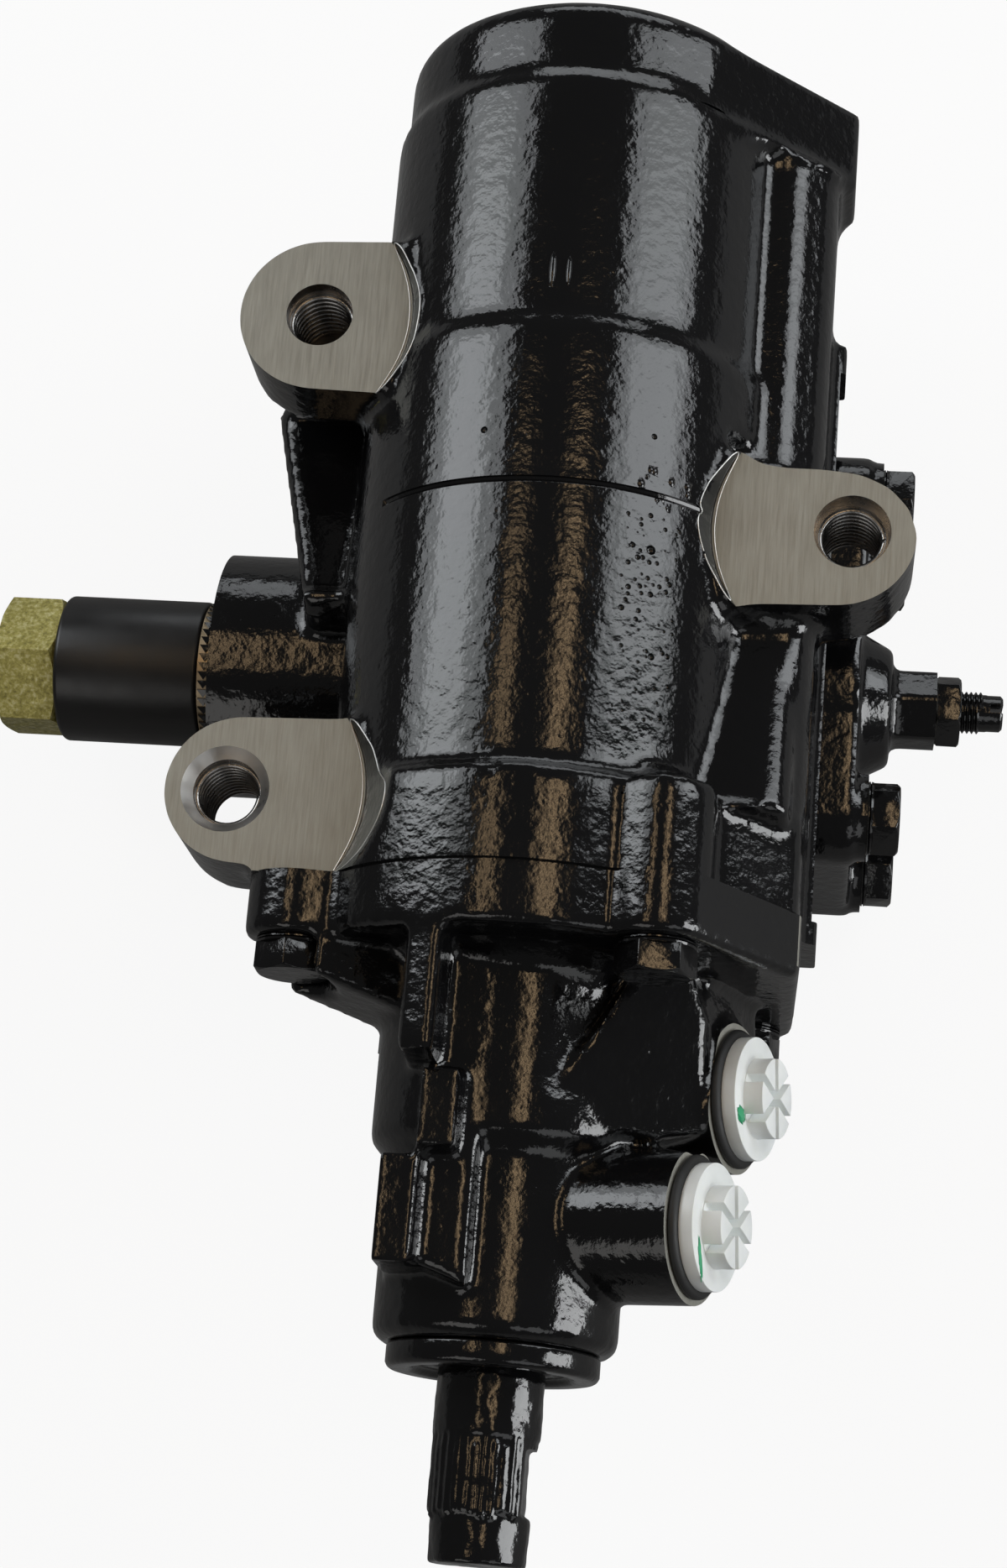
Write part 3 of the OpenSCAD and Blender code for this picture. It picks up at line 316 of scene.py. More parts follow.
def revolve(bm, place, profile, steps=96):  # closed profile of (radius, along), turned about place's z
    verts = [bm.verts.new(place @ Vector((r * mm, 0, z * mm))) for r, z in profile]
    edges = [bm.edges.new((a, b)) for a, b in zip(verts, verts[1:] + verts[:1])]
    axis = place.to_3x3() @ Vector((0, 0, 1))
    bmesh.ops.spin(bm, geom=verts + edges, cent=place.translation, axis=axis, dvec=(0, 0, 0),
                   angle=2 * math.pi, steps=steps, use_merge=True)
    bmesh.ops.remove_doubles(bm, verts=bm.verts, dist=1e-7)
    bmesh.ops.recalc_face_normals(bm, faces=bm.faces)


def addThread(bm, place, root, tip, pitch, turns, stepsPerTurn=40):  # helical ridge about place's z
    w = pitch * 0.47 * mm  # half the ridge's foot
    crest = w * 0.15
    corners = ((root * mm, 0, -w), (tip * mm, 0, -crest), (tip * mm, 0, crest), (root * mm, 0, w))
    verts = [bm.verts.new(place @ Vector(p)) for p in corners]
    edges = [bm.edges.new((a, b)) for a, b in zip(verts, verts[1:] + verts[:1])]
    axis = place.to_3x3() @ Vector((0, 0, 1))
    before = set(bm.faces)
    bmesh.ops.spin(bm, geom=verts + edges, cent=place.translation, axis=axis,
                   dvec=axis * pitch * mm / stepsPerTurn, angle=2 * math.pi * turns,
                   steps=int(stepsPerTurn * turns))
    made = [f for f in bm.faces if f not in before]
    rim = [e for e in {e for f in made for e in f.edges} if e.is_boundary]
    capped = bmesh.ops.holes_fill(bm, edges=rim, sides=0)["faces"]
    bmesh.ops.recalc_face_normals(bm, faces=made + capped)


def finished(obj):  # applies the modifiers
    dg = bpy.context.evaluated_depsgraph_get()
    mesh = bpy.data.meshes.new_from_object(obj.evaluated_get(dg))
    old = obj.data
    obj.modifiers.clear()
    obj.data = mesh
    bpy.data.meshes.remove(old)
    return obj


def fuse(obj, voxel):
    remesh = obj.modifiers.new("remesh", "REMESH")
    remesh.mode = "VOXEL"
    remesh.voxel_size = voxel * mm


def soften(obj, voxel, rounds):
    fuse(obj, voxel)
    smooth = obj.modifiers.new("soften", "SMOOTH")
    smooth.factor = 0.5
    smooth.iterations = rounds
    return finished(obj)


def machine(obj, steps, operation="DIFFERENCE"):  # each step is a function and its values
    tools = []
    for make, *values in steps:
        bm = bmesh.new()
        make(bm, *values)
        bmesh.ops.recalc_face_normals(bm, faces=bm.faces)
        tool = toObject(bm, "tool", bare)
        tool.hide_render = True
        mod = obj.modifiers.new("tool", "BOOLEAN")
        mod.operation = operation
        mod.solver = "MANIFOLD"
        mod.object = tool
        tools.append(tool)
    finished(obj)
    for t in tools:
        bpy.data.objects.remove(t)
    return obj


def castCopy(node, cfg, stock, fills, shaping=()):  # rough casting: bores filled, edges softened
    bm = mergedCopy(node)
    for face in stock:
        growFaces(bm, *face)
    for f in fills:
        addRod(bm, *f)
    obj = toObject(bm, node + "_cast", paint, bare)
    if shaping:
        fuse(obj, cfg["voxel"])
        finished(obj)
    for operation, *step in shaping:
        machine(obj, [step], operation)
    return soften(obj, cfg["voxel"], cfg["soften"])


def rounded(obj, width, segments=3, angle=35.0):
    mod = obj.modifiers.new("edges", "BEVEL")
    mod.width = width * mm
    mod.segments = segments
    mod.limit_method = "ANGLE"
    mod.angle_limit = math.radians(angle)
    return finished(obj)


def shade(obj, angle=40.0):
    obj.data.shade_smooth()
    obj.data.set_sharp_from_angle(angle=math.radians(angle))
    return obj


def standIn(obj, node):
    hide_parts(node)
    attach(obj, bodyOf[node])
    return obj


def joinIn(obj, mesh, slot):  # adds a made mesh to the object, in one of its material slots
    bm = openMesh(obj)
    own = len(bm.faces)
    bm.from_mesh(mesh)
    bm.faces.ensure_lookup_table()
    for f in bm.faces[own:]:
        f.material_index = slot
        f.smooth = True
    putBack(bm, obj)


def placeCopies(mesh, places, name, *mats):
    bm = bmesh.new()
    for place in places:
        first = len(bm.verts)
        bm.from_mesh(mesh)
        bm.verts.ensure_lookup_table()
        bmesh.ops.transform(bm, matrix=place, verts=bm.verts[first:])
    return toObject(bm, name, *mats)


def rimPaths(mesh, wall):  # runs of vertices along the rim of a wall's faces
    uses = {}
    for p in mesh.polygons:
        if wall(p):
            for k in p.edge_keys:
                uses[k] = uses.get(k, 0) + 1
    rim = {}
    for a, b in (k for k, n in uses.items() if n == 1):
        rim.setdefault(a, []).append(b)
        rim.setdefault(b, []).append(a)
    paths = []
    left = set(rim)
    while left:
        path = [next((v for v in sorted(left) if len(rim[v]) == 1), min(left))]
        ahead = path
        while ahead:
            left.discard(path[-1])
            ahead = [v for v in rim[path[-1]] if v in left]
            path += ahead[:1]
        paths.append(path)
    return paths


def edgeTubes(obj, wall, radius, shortest=9, evenings=12):  # thin tubes along the rim of a wall
    curve = bpy.data.curves.new("rim", "CURVE")
    curve.dimensions = "3D"
    curve.bevel_depth = radius * mm
    curve.bevel_resolution = 1
    curve.use_fill_caps = True
    for path in rimPaths(obj.data, wall):
        if len(path) >= shortest:
            line = [obj.data.vertices[v].co.copy() for v in path]
            for k in range(evenings):  # evens out the steps of the mesh
                line[1:-1] = [(a + b + c) / 3 for a, b, c in zip(line, line[1:], line[2:])]
            spline = curve.splines.new("POLY")
            spline.points.add(len(line) - 1)
            for point, at in zip(spline.points, line):
                point.co = (*at, 1)
    carrier = bpy.data.objects.new("rim", curve)
    bpy.context.scene.collection.objects.link(carrier)
    dg = bpy.context.evaluated_depsgraph_get()
    tubes = bpy.data.meshes.new_from_object(carrier.evaluated_get(dg))
    bpy.data.objects.remove(carrier)
    return tubes


# shared places: worm along y through the origin, sector shaft along x below it

up, wormAxis, sectorAxis = (0, 0, 1), (0, 1, 0), (1, 0, 0)
jointY, sectorY, sectorZ, farY = 132.0, 197.0, -45.0, 327.0
flange = 12.8
pole = 0.01  # a profile that closes on its axis starts this far from it
flangeY = jointY - flange
earHoles = [(-52.9, 256.0, 7.2, 7.2, 9.0), (63.0, 211.5, 8.0, 8.0, 0.0),
            (-62.0, 149.0, 9.2, 6.2, 0.0)]  # x, y, mouth and foot of the sink, shift of the milling cutter
valveBolts = [(28.95, 35.27), (-45.27, 18.95), (-28.95, -55.27), (45.27, -38.95)]
coverBolts = [(40.5, 21.5), (-32.5, 21.5), (-32.5, -21.5), (40.5, -21.5)]


def onSector(x, along=0.0, above=0.0):
    return (x, sectorY + along, sectorZ + above)


# gear housing casting, from its solid: softened, then machined again
# fills, bores and edges are rods: start, axis, length, radius; a slab is centre, facing, size, height
# and a plate is outline, bottom, top

earRound = [(64.2, 224.2), (70.2, 221.5), (74.4, 217), (76.3, 211.3), (82, 211.3), (82, 234)]
gearCasting = {
    "voxel": 1.2, "soften": 10, "stock": 4.0, "coverFace": 56.0, "neckFace": 78.0, "seed": 5,
    "fills": [((0, jointY - 3.5, 0), wormAxis, 190.0, 33.5), (onSector(-77), sectorAxis, 136.5, 22.0),
              (onSector(-20), sectorAxis, 79.5, 30.5), (onSector(-81.5), sectorAxis, 30.0, 21.0),
              ((45.5, jointY - 3.5, -6), wormAxis, 180.0, 4.5)],
    "earFill": {"low": 0.5, "above": 3.0, "spare": 0.5}, "boltFill": (26.0, 5.4),
    "valveFillFrom": jointY - 3.5, "coverFillFrom": 33.5,
    "web": ([(-65.5, 256.0), (-51.0, 199.0), (-30.0, 199.0), (-30.0, 256.0)], -30.0, 4.0),
    "webFace": ((-60.0, 224.5, -5.06), (0, 0.29, 0.957), (31.0, 49.0), 16.0),
    "webEdge": ((-51.0, 197.0, 0.3), (-0.236, 0.93, -0.283), 58.0, 3.0),
    "lugFace": ((44.5, 318.0, 14.3), (1, 0, 1), (60.0, 27.0), 30.0),
    "sideWall": ((34.0, 150.0, -5.0), (47.5, 192.0, 29.0)),
    "wallFace": ((50.0, 171.0, 22.95), (0, 0.233, 0.972), (33.0, 42.0), 14.0),
    "wallEdge": ((47.5, 149.0, 21.9), (0, 0.972, -0.233), 46.0, 6.0),
    "earTop": ([(36, 230), (40, 227.8), (43, 225.8), (48.2, 225), (56.2, 225), *earRound, (36, 234)],
               16.0, 34.5),
    "earTip": ([(58, 225), *earRound, (58, 234)], -2.0, 34.5),
    "barrel": ((0, 150.0, 0), wormAxis, 60.0, 44.0),
    "earFace": 25.5, "cutter": 29.0, "cutterHeight": 24.0, "flare": 0.5, "sink": 3.5, "boreTop": 29.0,
    "blindEar": 0, "blindFloor": 4.0, "openFloor": -3.0,
    "faces": [((-90, jointY - 12, -90), (90, jointY, 60)), ((56, sectorY - 60, -100), (75, sectorY + 66, -9)),
              ((-95, sectorY - 40, -90), (-78, sectorY + 40, 1.2))],
    "bores": [((0, jointY - 14, 0), wormAxis, farY - 12 - jointY + 14, 33.0),
              (onSector(-20.5), sectorAxis, 80, 30.0), (onSector(-90), sectorAxis, 75, 20.0),
              (onSector(-70.5), sectorAxis, 2, 21.5)],
    "valveBoreFrom": jointY - 14, "valveBoltBore": (34, 4.8, 32),
    "coverBoreFrom": 34, "coverBoltBore": (30, 4.8, 32),
    "threadRadius": 7.05, "threadTip": 6.05, "threadPitch": 2.0, "threadFrom": 0.5,
    "threadLow": -2.0, "rimWire": 0.16,
    "grooves": [(212.7, 44.1, 0.8, 26.4), (305.6, 41.3, 0.75, 12.0)],  # along, radius, size, lowest height
    "drips": [(-1.8, 256.0, 0.75, 8.5, 42.5), (1.6, 256.6, 0.6, 7.0, 42.5)],  # x, y, radius, length, barrel
    "lumps": {"count": 16, "x": (19.0, 29.0), "y": (209.5, 217.0), "size": (0.6, 1.2)},
    "pits": [(-13.2, 223.7, 0.8), (22.5, 200.6, 1.1), (23.0, 191.1, 0.7), (21.6, 225.3, 0.7),
             (26.0, 195.3, 0.6), (17.5, 187.0, 0.7), (24.0, 178.0, 0.8), (20.6, 147.3, 0.8)],  # x, y, radius
    "roughPatch": {"count": 70, "x": (17.0, 28.0), "y": (164.0, 208.0), "size": (0.25, 0.7)}}
barrelSkin = {"collarEnd": 152.0, "collar": 47.0, "barrel": 44.0, "lump": 43.6, "lumpLength": 2.6,
              "sunk": 0.35}


def scatter(draw, area):
    return [(draw.uniform(*area["x"]), draw.uniform(*area["y"]), draw.uniform(*area["size"]))
            for k in range(area["count"])]


def addDrip(bm, x, y, r, length, barrel):  # run of paint on the barrel, along the worm axis
    z = math.sqrt(barrel ** 2 - x * x)
    m = Matrix.Translation(Vector((x, y + length / 2, z - r * barrelSkin["sunk"])) * mm)
    m = m @ Matrix.Diagonal((1, length / 2 / r, 1, 1))
    bmesh.ops.create_icosphere(bm, subdivisions=3, radius=r * mm, matrix=m)


def addLumps(bm, lumps):
    for x, y, r in lumps:
        addDrip(bm, x, y, r, r * barrelSkin["lumpLength"], barrelSkin["lump"])


def addPits(bm, pits):
    for x, y, r in pits:
        band = barrelSkin["collar"] if y < barrelSkin["collarEnd"] else barrelSkin["barrel"]
        m = Matrix.Translation(Vector((x, y, math.sqrt(band ** 2 - x * x))) * mm)
        bmesh.ops.create_icosphere(bm, subdivisions=2, radius=r * mm, matrix=m)


def addGroove(bm, y, radius, r, low):  # parting line round the front of the barrel, down to a height
    ring = [(radius + r * math.cos(a), r * math.sin(a)) for a in (k * math.pi / 4 for k in range(8))]
    revolve(bm, rodMatrix((0, y, 0), wormAxis), ring, 160)
    bmesh.ops.bisect_plane(bm, geom=bm.verts[:] + bm.edges[:] + bm.faces[:], plane_co=(0, 0, low * mm),
                           plane_no=(0, 0, 1), clear_inner=True)
    bmesh.ops.holes_fill(bm, edges=[e for e in bm.edges if e.is_boundary], sides=0)


def castGearHousing(cfg):
    by, ear = cfg["stock"], cfg["earFill"]
    stock = [(up, cfg["earFace"], by), ((0, -1, 0), -jointY, by), (sectorAxis, cfg["coverFace"], by),
             ((-1, 0, 0), cfg["neckFace"], by)]
    fills = [((x, y, ear["low"]), up, cfg["earFace"] + ear["above"], r + ear["spare"])
             for x, y, r, foot, shift in earHoles]
    fills += cfg["fills"]
    fills += [((x, cfg["valveFillFrom"], z), wormAxis, *cfg["boltFill"]) for x, z in valveBolts]
    fills += [(onSector(cfg["coverFillFrom"], *bolt), sectorAxis, *cfg["boltFill"]) for bolt in coverBolts]
    shaping = [("UNION", addPlate, *cfg["web"]), ("DIFFERENCE", addSlab, *cfg["webFace"]),
               ("UNION", addRod, *cfg["webEdge"]), ("DIFFERENCE", addSlab, *cfg["lugFace"]),
               ("UNION", addBox, *cfg["sideWall"]), ("DIFFERENCE", addSlab, *cfg["wallFace"]),
               ("UNION", addRod, *cfg["wallEdge"]), ("DIFFERENCE", addPlate, *cfg["earTop"]),
               ("DIFFERENCE", addPlate, *cfg["earTip"]), ("UNION", addRod, *cfg["barrel"])]
    return castCopy("gear_housing", cfg, stock, fills, shaping)


def earCuts(cfg):  # milled face, threaded bore and sink of each ear
    z, tall, sink = cfg["earFace"], cfg["cutterHeight"], cfg["sink"]
    wide = cfg["cutter"] + tall * cfg["flare"]
    cuts = [(addRod, (x - shift, y, z), up, tall, cfg["cutter"], 96, wide)
            for x, y, r, foot, shift in earHoles]
    for k, (x, y, r, foot, shift) in enumerate(earHoles):
        floor = cfg["blindFloor"] if k == cfg["blindEar"] else cfg["openFloor"]
        cuts.append((addRod, (x, y, floor), up, cfg["boreTop"] - floor, cfg["threadRadius"], 64))
    cuts += [(addRod, (x, y, z - sink), up, sink * 2, foot, 64, 2 * r - foot)
             for x, y, r, foot, shift in earHoles]
    return cuts


def finishEars(obj, cfg):  # bare faces, threads and bright edges
    z = cfg["earFace"]
    paintSlot, bareSlot, threadSlot, edgeSlot, sinkSlot = range(5)
    near, sinkSpare, wallSpare, faceSpare = 0.02, 0.1, 0.06, 0.01
    for p in obj.data.polygons:
        c = p.center / mm
        p.material_index = paintSlot
        if p.normal.z > 0.999 and abs(c.z - z) < near:
            p.material_index = bareSlot
            continue
        for x, y, r, foot, shift in earHoles:
            inside = math.hypot(c.x - x, c.y - y) < r + near
            if inside and foot < r and c.z > z - cfg["sink"] - sinkSpare:
                p.material_index = sinkSlot
            elif inside and c.z > cfg["threadLow"]:
                p.material_index = threadSlot

    def onWall(p):  # slanted wall that the milling cutter leaves round an ear
        c = p.center / mm
        reach = cfg["cutter"] + (c.z - z) * cfg["flare"]
        return c.z > z + faceSpare and any(abs(math.hypot(c.x - x + shift, c.y - y) - reach) < wallSpare
                                           for x, y, r, foot, shift in earHoles)

    tubes = edgeTubes(obj, onWall, cfg["rimWire"])
    shade(obj)
    threads = bmesh.new()
    turns = (z - cfg["sink"] + 1.0) / cfg["threadPitch"] - 1
    for x, y, r, foot, shift in earHoles:
        addThread(threads, rodMatrix((x, y, cfg["threadFrom"]), up), cfg["threadRadius"] + 0.05,
                  cfg["threadTip"], cfg["threadPitch"], turns)
    joinIn(obj, toMesh(threads), threadSlot)
    joinIn(obj, tubes, edgeSlot)
    for mat in (threadSteel, edgeSteel, sinkSteel):
        obj.data.materials.append(mat)


def makeGearHousing(cfg):
    obj = castGearHousing(cfg)
    print("gear housing softened,", len(obj.data.polygons), "faces")
    draw = random.Random(cfg["seed"])
    lumps = scatter(draw, cfg["lumps"])
    pits = cfg["pits"] + scatter(draw, cfg["roughPatch"])
    drips = [(addDrip, *d) for d in cfg["drips"]]
    drips += [(addLumps, lumps[k::4]) for k in range(4)]  # in four tools, so that few overlap
    machine(obj, drips, "UNION")
    cuts = earCuts(cfg)
    cuts += [(addBox, *face) for face in cfg["faces"]]
    cuts += [(addRod, *bore) for bore in cfg["bores"]]
    cuts += [(addRod, (x, cfg["valveBoreFrom"], z), wormAxis, *cfg["valveBoltBore"]) for x, z in valveBolts]
    cuts += [(addRod, onSector(cfg["coverBoreFrom"], *bolt), sectorAxis, *cfg["coverBoltBore"])
             for bolt in coverBolts]
    cuts += [(addGroove, *g) for g in cfg["grooves"]]
    cuts += [(addPits, pits[k::6]) for k in range(6)]
    machine(obj, cuts)
    finishEars(obj, cfg)
    return standIn(obj, "gear_housing")


gearHousing = makeGearHousing(gearCasting)
print("gear housing done,", len(gearHousing.data.polygons), "faces")


# valve housing casting

portAxis = Vector((0.93358, 0.0, 0.358368))
ports = [Vector((39.1, 67.2, 15.3)), Vector((45.407, 96.5, -1.131))]
valveCasting = {
    "voxel": 1.0, "soften": 6, "stock": 4.0, "boltFill": 5.6, "portFill": (20, 24.0, 8.0),
    "fills": [((0, flangeY + 0.3, 0), wormAxis, flange + 3.7, 38.0), ((0, 116.0, 0), wormAxis, 6.0, 26.5),
              ((0, 42.0, 0), wormAxis, 78.0, 17.5)],
    "portWeb": ([(10.3, 90.7), (21.8, 112.0), (24.0, 117.5), (36.0, 117.5), (39.0, 110.0), (39.0, 86.5),
                 (30.0, 84.5), (19.5, 84.5)], -12.0, 19.3, (-0.511, 0.136)),
    "joint": ((-90, jointY, -90), (90, jointY + 12, 70)), "portFace": (10, 36.0),
    "bores": [(119.0, 20, 26.0), (59.0, 75, 17.0), (49.0, 12, 13.8), (47.0, 4, 12.3),
              (41.0, 7, 16.0)],  # from, length and radius of bearing, sleeve, input bearing, land and seal
    "boltBore": (10, 34, 5.15, 32), "boltSeat": (30, 30, 8.75, 64),
    "portBore": (18.0, 30, 7.5, 64), "drilling": (40, 30, 4.0, 32)}  # setback, length, radius, sides


def makeValveHousing(cfg):
    face = portAxis.dot(ports[0])
    stock = [(wormAxis, jointY, cfg["stock"]), (tuple(portAxis), face, cfg["stock"])]
    fills = cfg["fills"] + [((x, flangeY, z), wormAxis, flange + 4, cfg["boltFill"]) for x, z in valveBolts]
    depth, *rod = cfg["portFill"]
    fills += [(p - portAxis * depth, portAxis, *rod) for p in ports]
    obj = castCopy("valve_housing", cfg, stock, fills, [("UNION", addPlate, *cfg["portWeb"])])
    print("valve housing softened,", len(obj.data.polygons), "faces")
    cuts = [(addBox, *cfg["joint"]), (addRod, (ports[0] + ports[1]) / 2, portAxis, *cfg["portFace"])]
    cuts += [(addRod, (0, y, 0), wormAxis, length, r) for y, length, r in cfg["bores"]]
    for key in ("boltBore", "boltSeat"):
        back, *rod = cfg[key]
        cuts += [(addRod, (x, flangeY - back, z), wormAxis, *rod) for x, z in valveBolts]
    for key in ("portBore", "drilling"):
        depth, *rod = cfg[key]
        cuts += [(addRod, p - portAxis * depth, portAxis, *rod) for p in ports]
    machine(obj, cuts)
    for p in obj.data.polygons:
        onFace = p.normal.dot(portAxis) > 0.999 and p.center.dot(portAxis) > (face - 0.02) * mm
        p.material_index = 1 if onFace else 0
    return standIn(shade(obj), "valve_housing")


valveHousing = makeValveHousing(valveCasting)
print("valve housing done,", len(valveHousing.data.polygons), "faces")


# side cover casting

coverCasting = {
    "voxel": 0.95, "soften": 5, "face": 56.0, "seat": 69.5, "hexEnd": 84.0, "faceStock": 3, "endStock": 2,
    "fills": [(onSector(46.0), sectorAxis, 15.0, 14.5), (onSector(46.0), sectorAxis, 40.0, 5.3),
              (onSector(50.0), sectorAxis, 6.0, 29.9)], "fillFrom": 53.0, "boltFill": (18.5, 5.6),
    "joint": ((30, 120, -130), (56.0, 280, 40)), "spigot": (onSector(47.0), sectorAxis, 10, 29.95),
    "boltSeat": (8, 11.5), "boreFrom": 50.0, "boltBore": (30, 5.15, 32),
    "bores": [(onSector(84.0), sectorAxis, 8, 16.0), (onSector(40.0), sectorAxis, 20.5, 14.0),
              (onSector(40.0), sectorAxis, 60, 4.8, 48)]}  # hexagon's end, bush and adjuster


def makeSideCover(cfg):
    stock = [((-1, 0, 0), -cfg["face"], cfg["faceStock"]), (sectorAxis, cfg["seat"], cfg["endStock"]),
             (sectorAxis, cfg["hexEnd"], cfg["endStock"])]
    fills = [(onSector(cfg["fillFrom"], *bolt), sectorAxis, *cfg["boltFill"]) for bolt in coverBolts]
    fills = cfg["fills"] + fills
    obj = castCopy("side_cover", cfg, stock, fills)
    machine(obj, [(addBox, *cfg["joint"])])
    machine(obj, [(addRod, *cfg["spigot"])], "UNION")
    cuts = [(addRod, onSector(cfg["seat"], *bolt), sectorAxis, *cfg["boltSeat"]) for bolt in coverBolts]
    cuts += [(addRod, *bore) for bore in cfg["bores"]]
    cuts += [(addRod, onSector(cfg["boreFrom"], *bolt), sectorAxis, *cfg["boltBore"]) for bolt in coverBolts]
    machine(obj, cuts)
    return standIn(shade(obj), "side_cover")


sideCover = makeSideCover(coverCasting)
print("side cover done,", len(sideCover.data.polygons), "faces")


# hexagon bolts, locknut and pitman nut

hexBolt = {"flats": 14.3, "head": 7.0, "topRadius": 7.0, "slope": 1.73, "below": 3.0, "edge": 0.35,
           "shank": 4.75, "shankIn": 0.5, "washer": 8.0, "washerHeight": 1.2, "washerBore": 4.0, "sunk": 0.2,
           "lowEdge": 0.2, "topEdge": 0.15, "splitDepth": 0.5, "splitHalf": 0.15}
valveBoltSet = {"length": 30.8, "turns": (22, 6, 40, 15)}
coverBoltSet = {"length": 31.5, "turns": (10, 28, 2, 47)}


def hexBlank(bm, flats, low, high):
    addRod(bm, (0, 0, low), up, high - low, flats / math.sqrt(3), 6)


def makeBoltMesh(cfg, length):
    bm = bmesh.new()
    hexBlank(bm, cfg["flats"], cfg["washerHeight"] - cfg["sunk"], cfg["head"])
    obj = toObject(bm, "bolt", paint)
    tall = cfg["head"] + cfg["below"]
    foot = cfg["topRadius"] + cfg["slope"] * tall
    machine(obj, [(addRod, (0, 0, -cfg["below"]), up, tall, foot, 96, cfg["topRadius"])], "INTERSECT")
    rounded(obj, cfg["edge"])
    bm = openMesh(obj)
    bore, r, top, half = cfg["washerBore"], cfg["washer"], cfg["washerHeight"], cfg["splitHalf"]
    split = top / 2
    outline = [(bore, 0.0), (r - cfg["lowEdge"], 0.0), (r, cfg["lowEdge"]), (r, split - half),
               (r - cfg["splitDepth"], split), (r, split + half), (r - cfg["topEdge"], top), (bore, top)]
    revolve(bm, Matrix.Identity(4), outline, 64)
    addRod(bm, (0, 0, -length), up, length + cfg["shankIn"], cfg["shank"], 32)
    bpy.data.objects.remove(obj)
    return toMesh(bm, "bolt")


def makeBolts(node, cfg, places):
    spun = [place @ Matrix.Rotation(math.radians(t), 4, "Z") for place, t in zip(places, cfg["turns"])]
    mesh = makeBoltMesh(hexBolt, cfg["length"])
    return standIn(shade(placeCopies(mesh, spun, node + "_heads", paint), 30), node)


makeBolts("valve_housing_bolts", valveBoltSet,
          [rodMatrix((x, flangeY, z), (0, -1, 0)) for x, z in valveBolts])
makeBolts("side_cover_bolts", coverBoltSet,
          [rodMatrix(onSector(coverCasting["seat"], *bolt), sectorAxis) for bolt in coverBolts])

lockNut = {"flats": 14.3, "from": 84.0, "to": 89.5, "bore": 4.8, "chamfer": 1.2, "edge": 0.35, "turn": 90}
pitmanNut = {"flats": 28.6, "from": -130.0, "to": -116.0, "bore": 11.05, "chamfer": 2.4, "edge": 0.5,
             "turn": 65}


def makeNut(node, cfg, mat):
    low, high, spare = cfg["from"], cfg["to"], 0.1
    bm = bmesh.new()
    hexBlank(bm, cfg["flats"], low, high)
    obj = toObject(bm, node + "_hex", mat)
    wide = cfg["flats"] / math.sqrt(3) + spare
    narrow = wide - cfg["chamfer"]
    run = cfg["chamfer"] * 0.6  # about 30 degrees
    foot, top = low - spare, high + spare
    outline = [(pole, foot), (narrow, foot), (wide, foot + run), (wide, top - run), (narrow, top),
               (pole, top)]
    machine(obj, [(revolve, Matrix.Identity(4), outline)], "INTERSECT")
    machine(obj, [(addRod, (0, 0, low - 1), up, high - low + 2, cfg["bore"], 64)])
    rounded(obj, cfg["edge"])
    bm = openMesh(obj)
    turned = rodMatrix(onSector(0), sectorAxis) @ Matrix.Rotation(math.radians(cfg["turn"]), 4, "Z")
    bmesh.ops.transform(bm, matrix=turned, verts=bm.verts)
    return standIn(shade(putBack(bm, obj), 30), node)


makeNut("adjuster_locknut", lockNut, paint)
makeNut("pitman_nut", pitmanNut, zinc)
print("bolts and nuts done")


# adjuster screw: turned blank, thread and slot

adjuster = {"radius": 4.75, "root": 4.2, "pitch": 1.06, "from": 60.0, "threadEnd": 95.2, "end": 99.0,
            "tip": 4.1, "tipEdge": 0.6, "slot": 1.9, "slotDepth": 2.9, "slotReach": 8, "edge": 0.25,
            "head": (54.0, 58.0, 7.0)}


def makeAdjuster(cfg):
    place = rodMatrix(onSector(0), sectorAxis)
    headLow, headHigh, headRadius = cfg["head"]
    root, last, tip, end, edge = (cfg[k] for k in ("root", "threadEnd", "tip", "end", "tipEdge"))
    outline = [(pole, headLow), (headRadius, headLow), (headRadius, headHigh), (root, headHigh), (root, last),
               (tip, last + 0.4), (tip, end - edge), (tip - edge, end), (pole, end)]
    bm = bmesh.new()
    revolve(bm, place, outline, 48)
    obj = toObject(bm, "adjuster_thread", paint)
    half, reach = cfg["slot"] / 2, cfg["slotReach"]
    machine(obj, [(addBox, onSector(end - cfg["slotDepth"], -half, -reach), onSector(end + 2, half, reach))])
    rounded(obj, cfg["edge"])
    bm = openMesh(obj)
    turns = (last - cfg["from"] - 1.0) / cfg["pitch"]
    start = place @ Matrix.Translation((0, 0, cfg["from"] * mm))
    addThread(bm, start, root - 0.1, cfg["radius"], cfg["pitch"], turns)
    return standIn(shade(putBack(bm, obj), 50), "adjuster_screw")


makeAdjuster(adjuster)
print("adjuster done")


# sleeve on the splined taper, and the spline shoulder beside the neck

splineEnd = {"sleeve": 16.8, "bore": 14.5, "from": -116.0, "to": -82.6, "round": 2.2, "teeth": 50,
             "ring": 16.3, "ringBore": 14.6, "tooth": 16.7, "toothSunk": 0.5, "toothFrom": -82.6,
             "toothTo": -78.4, "toothLength": 2.4}


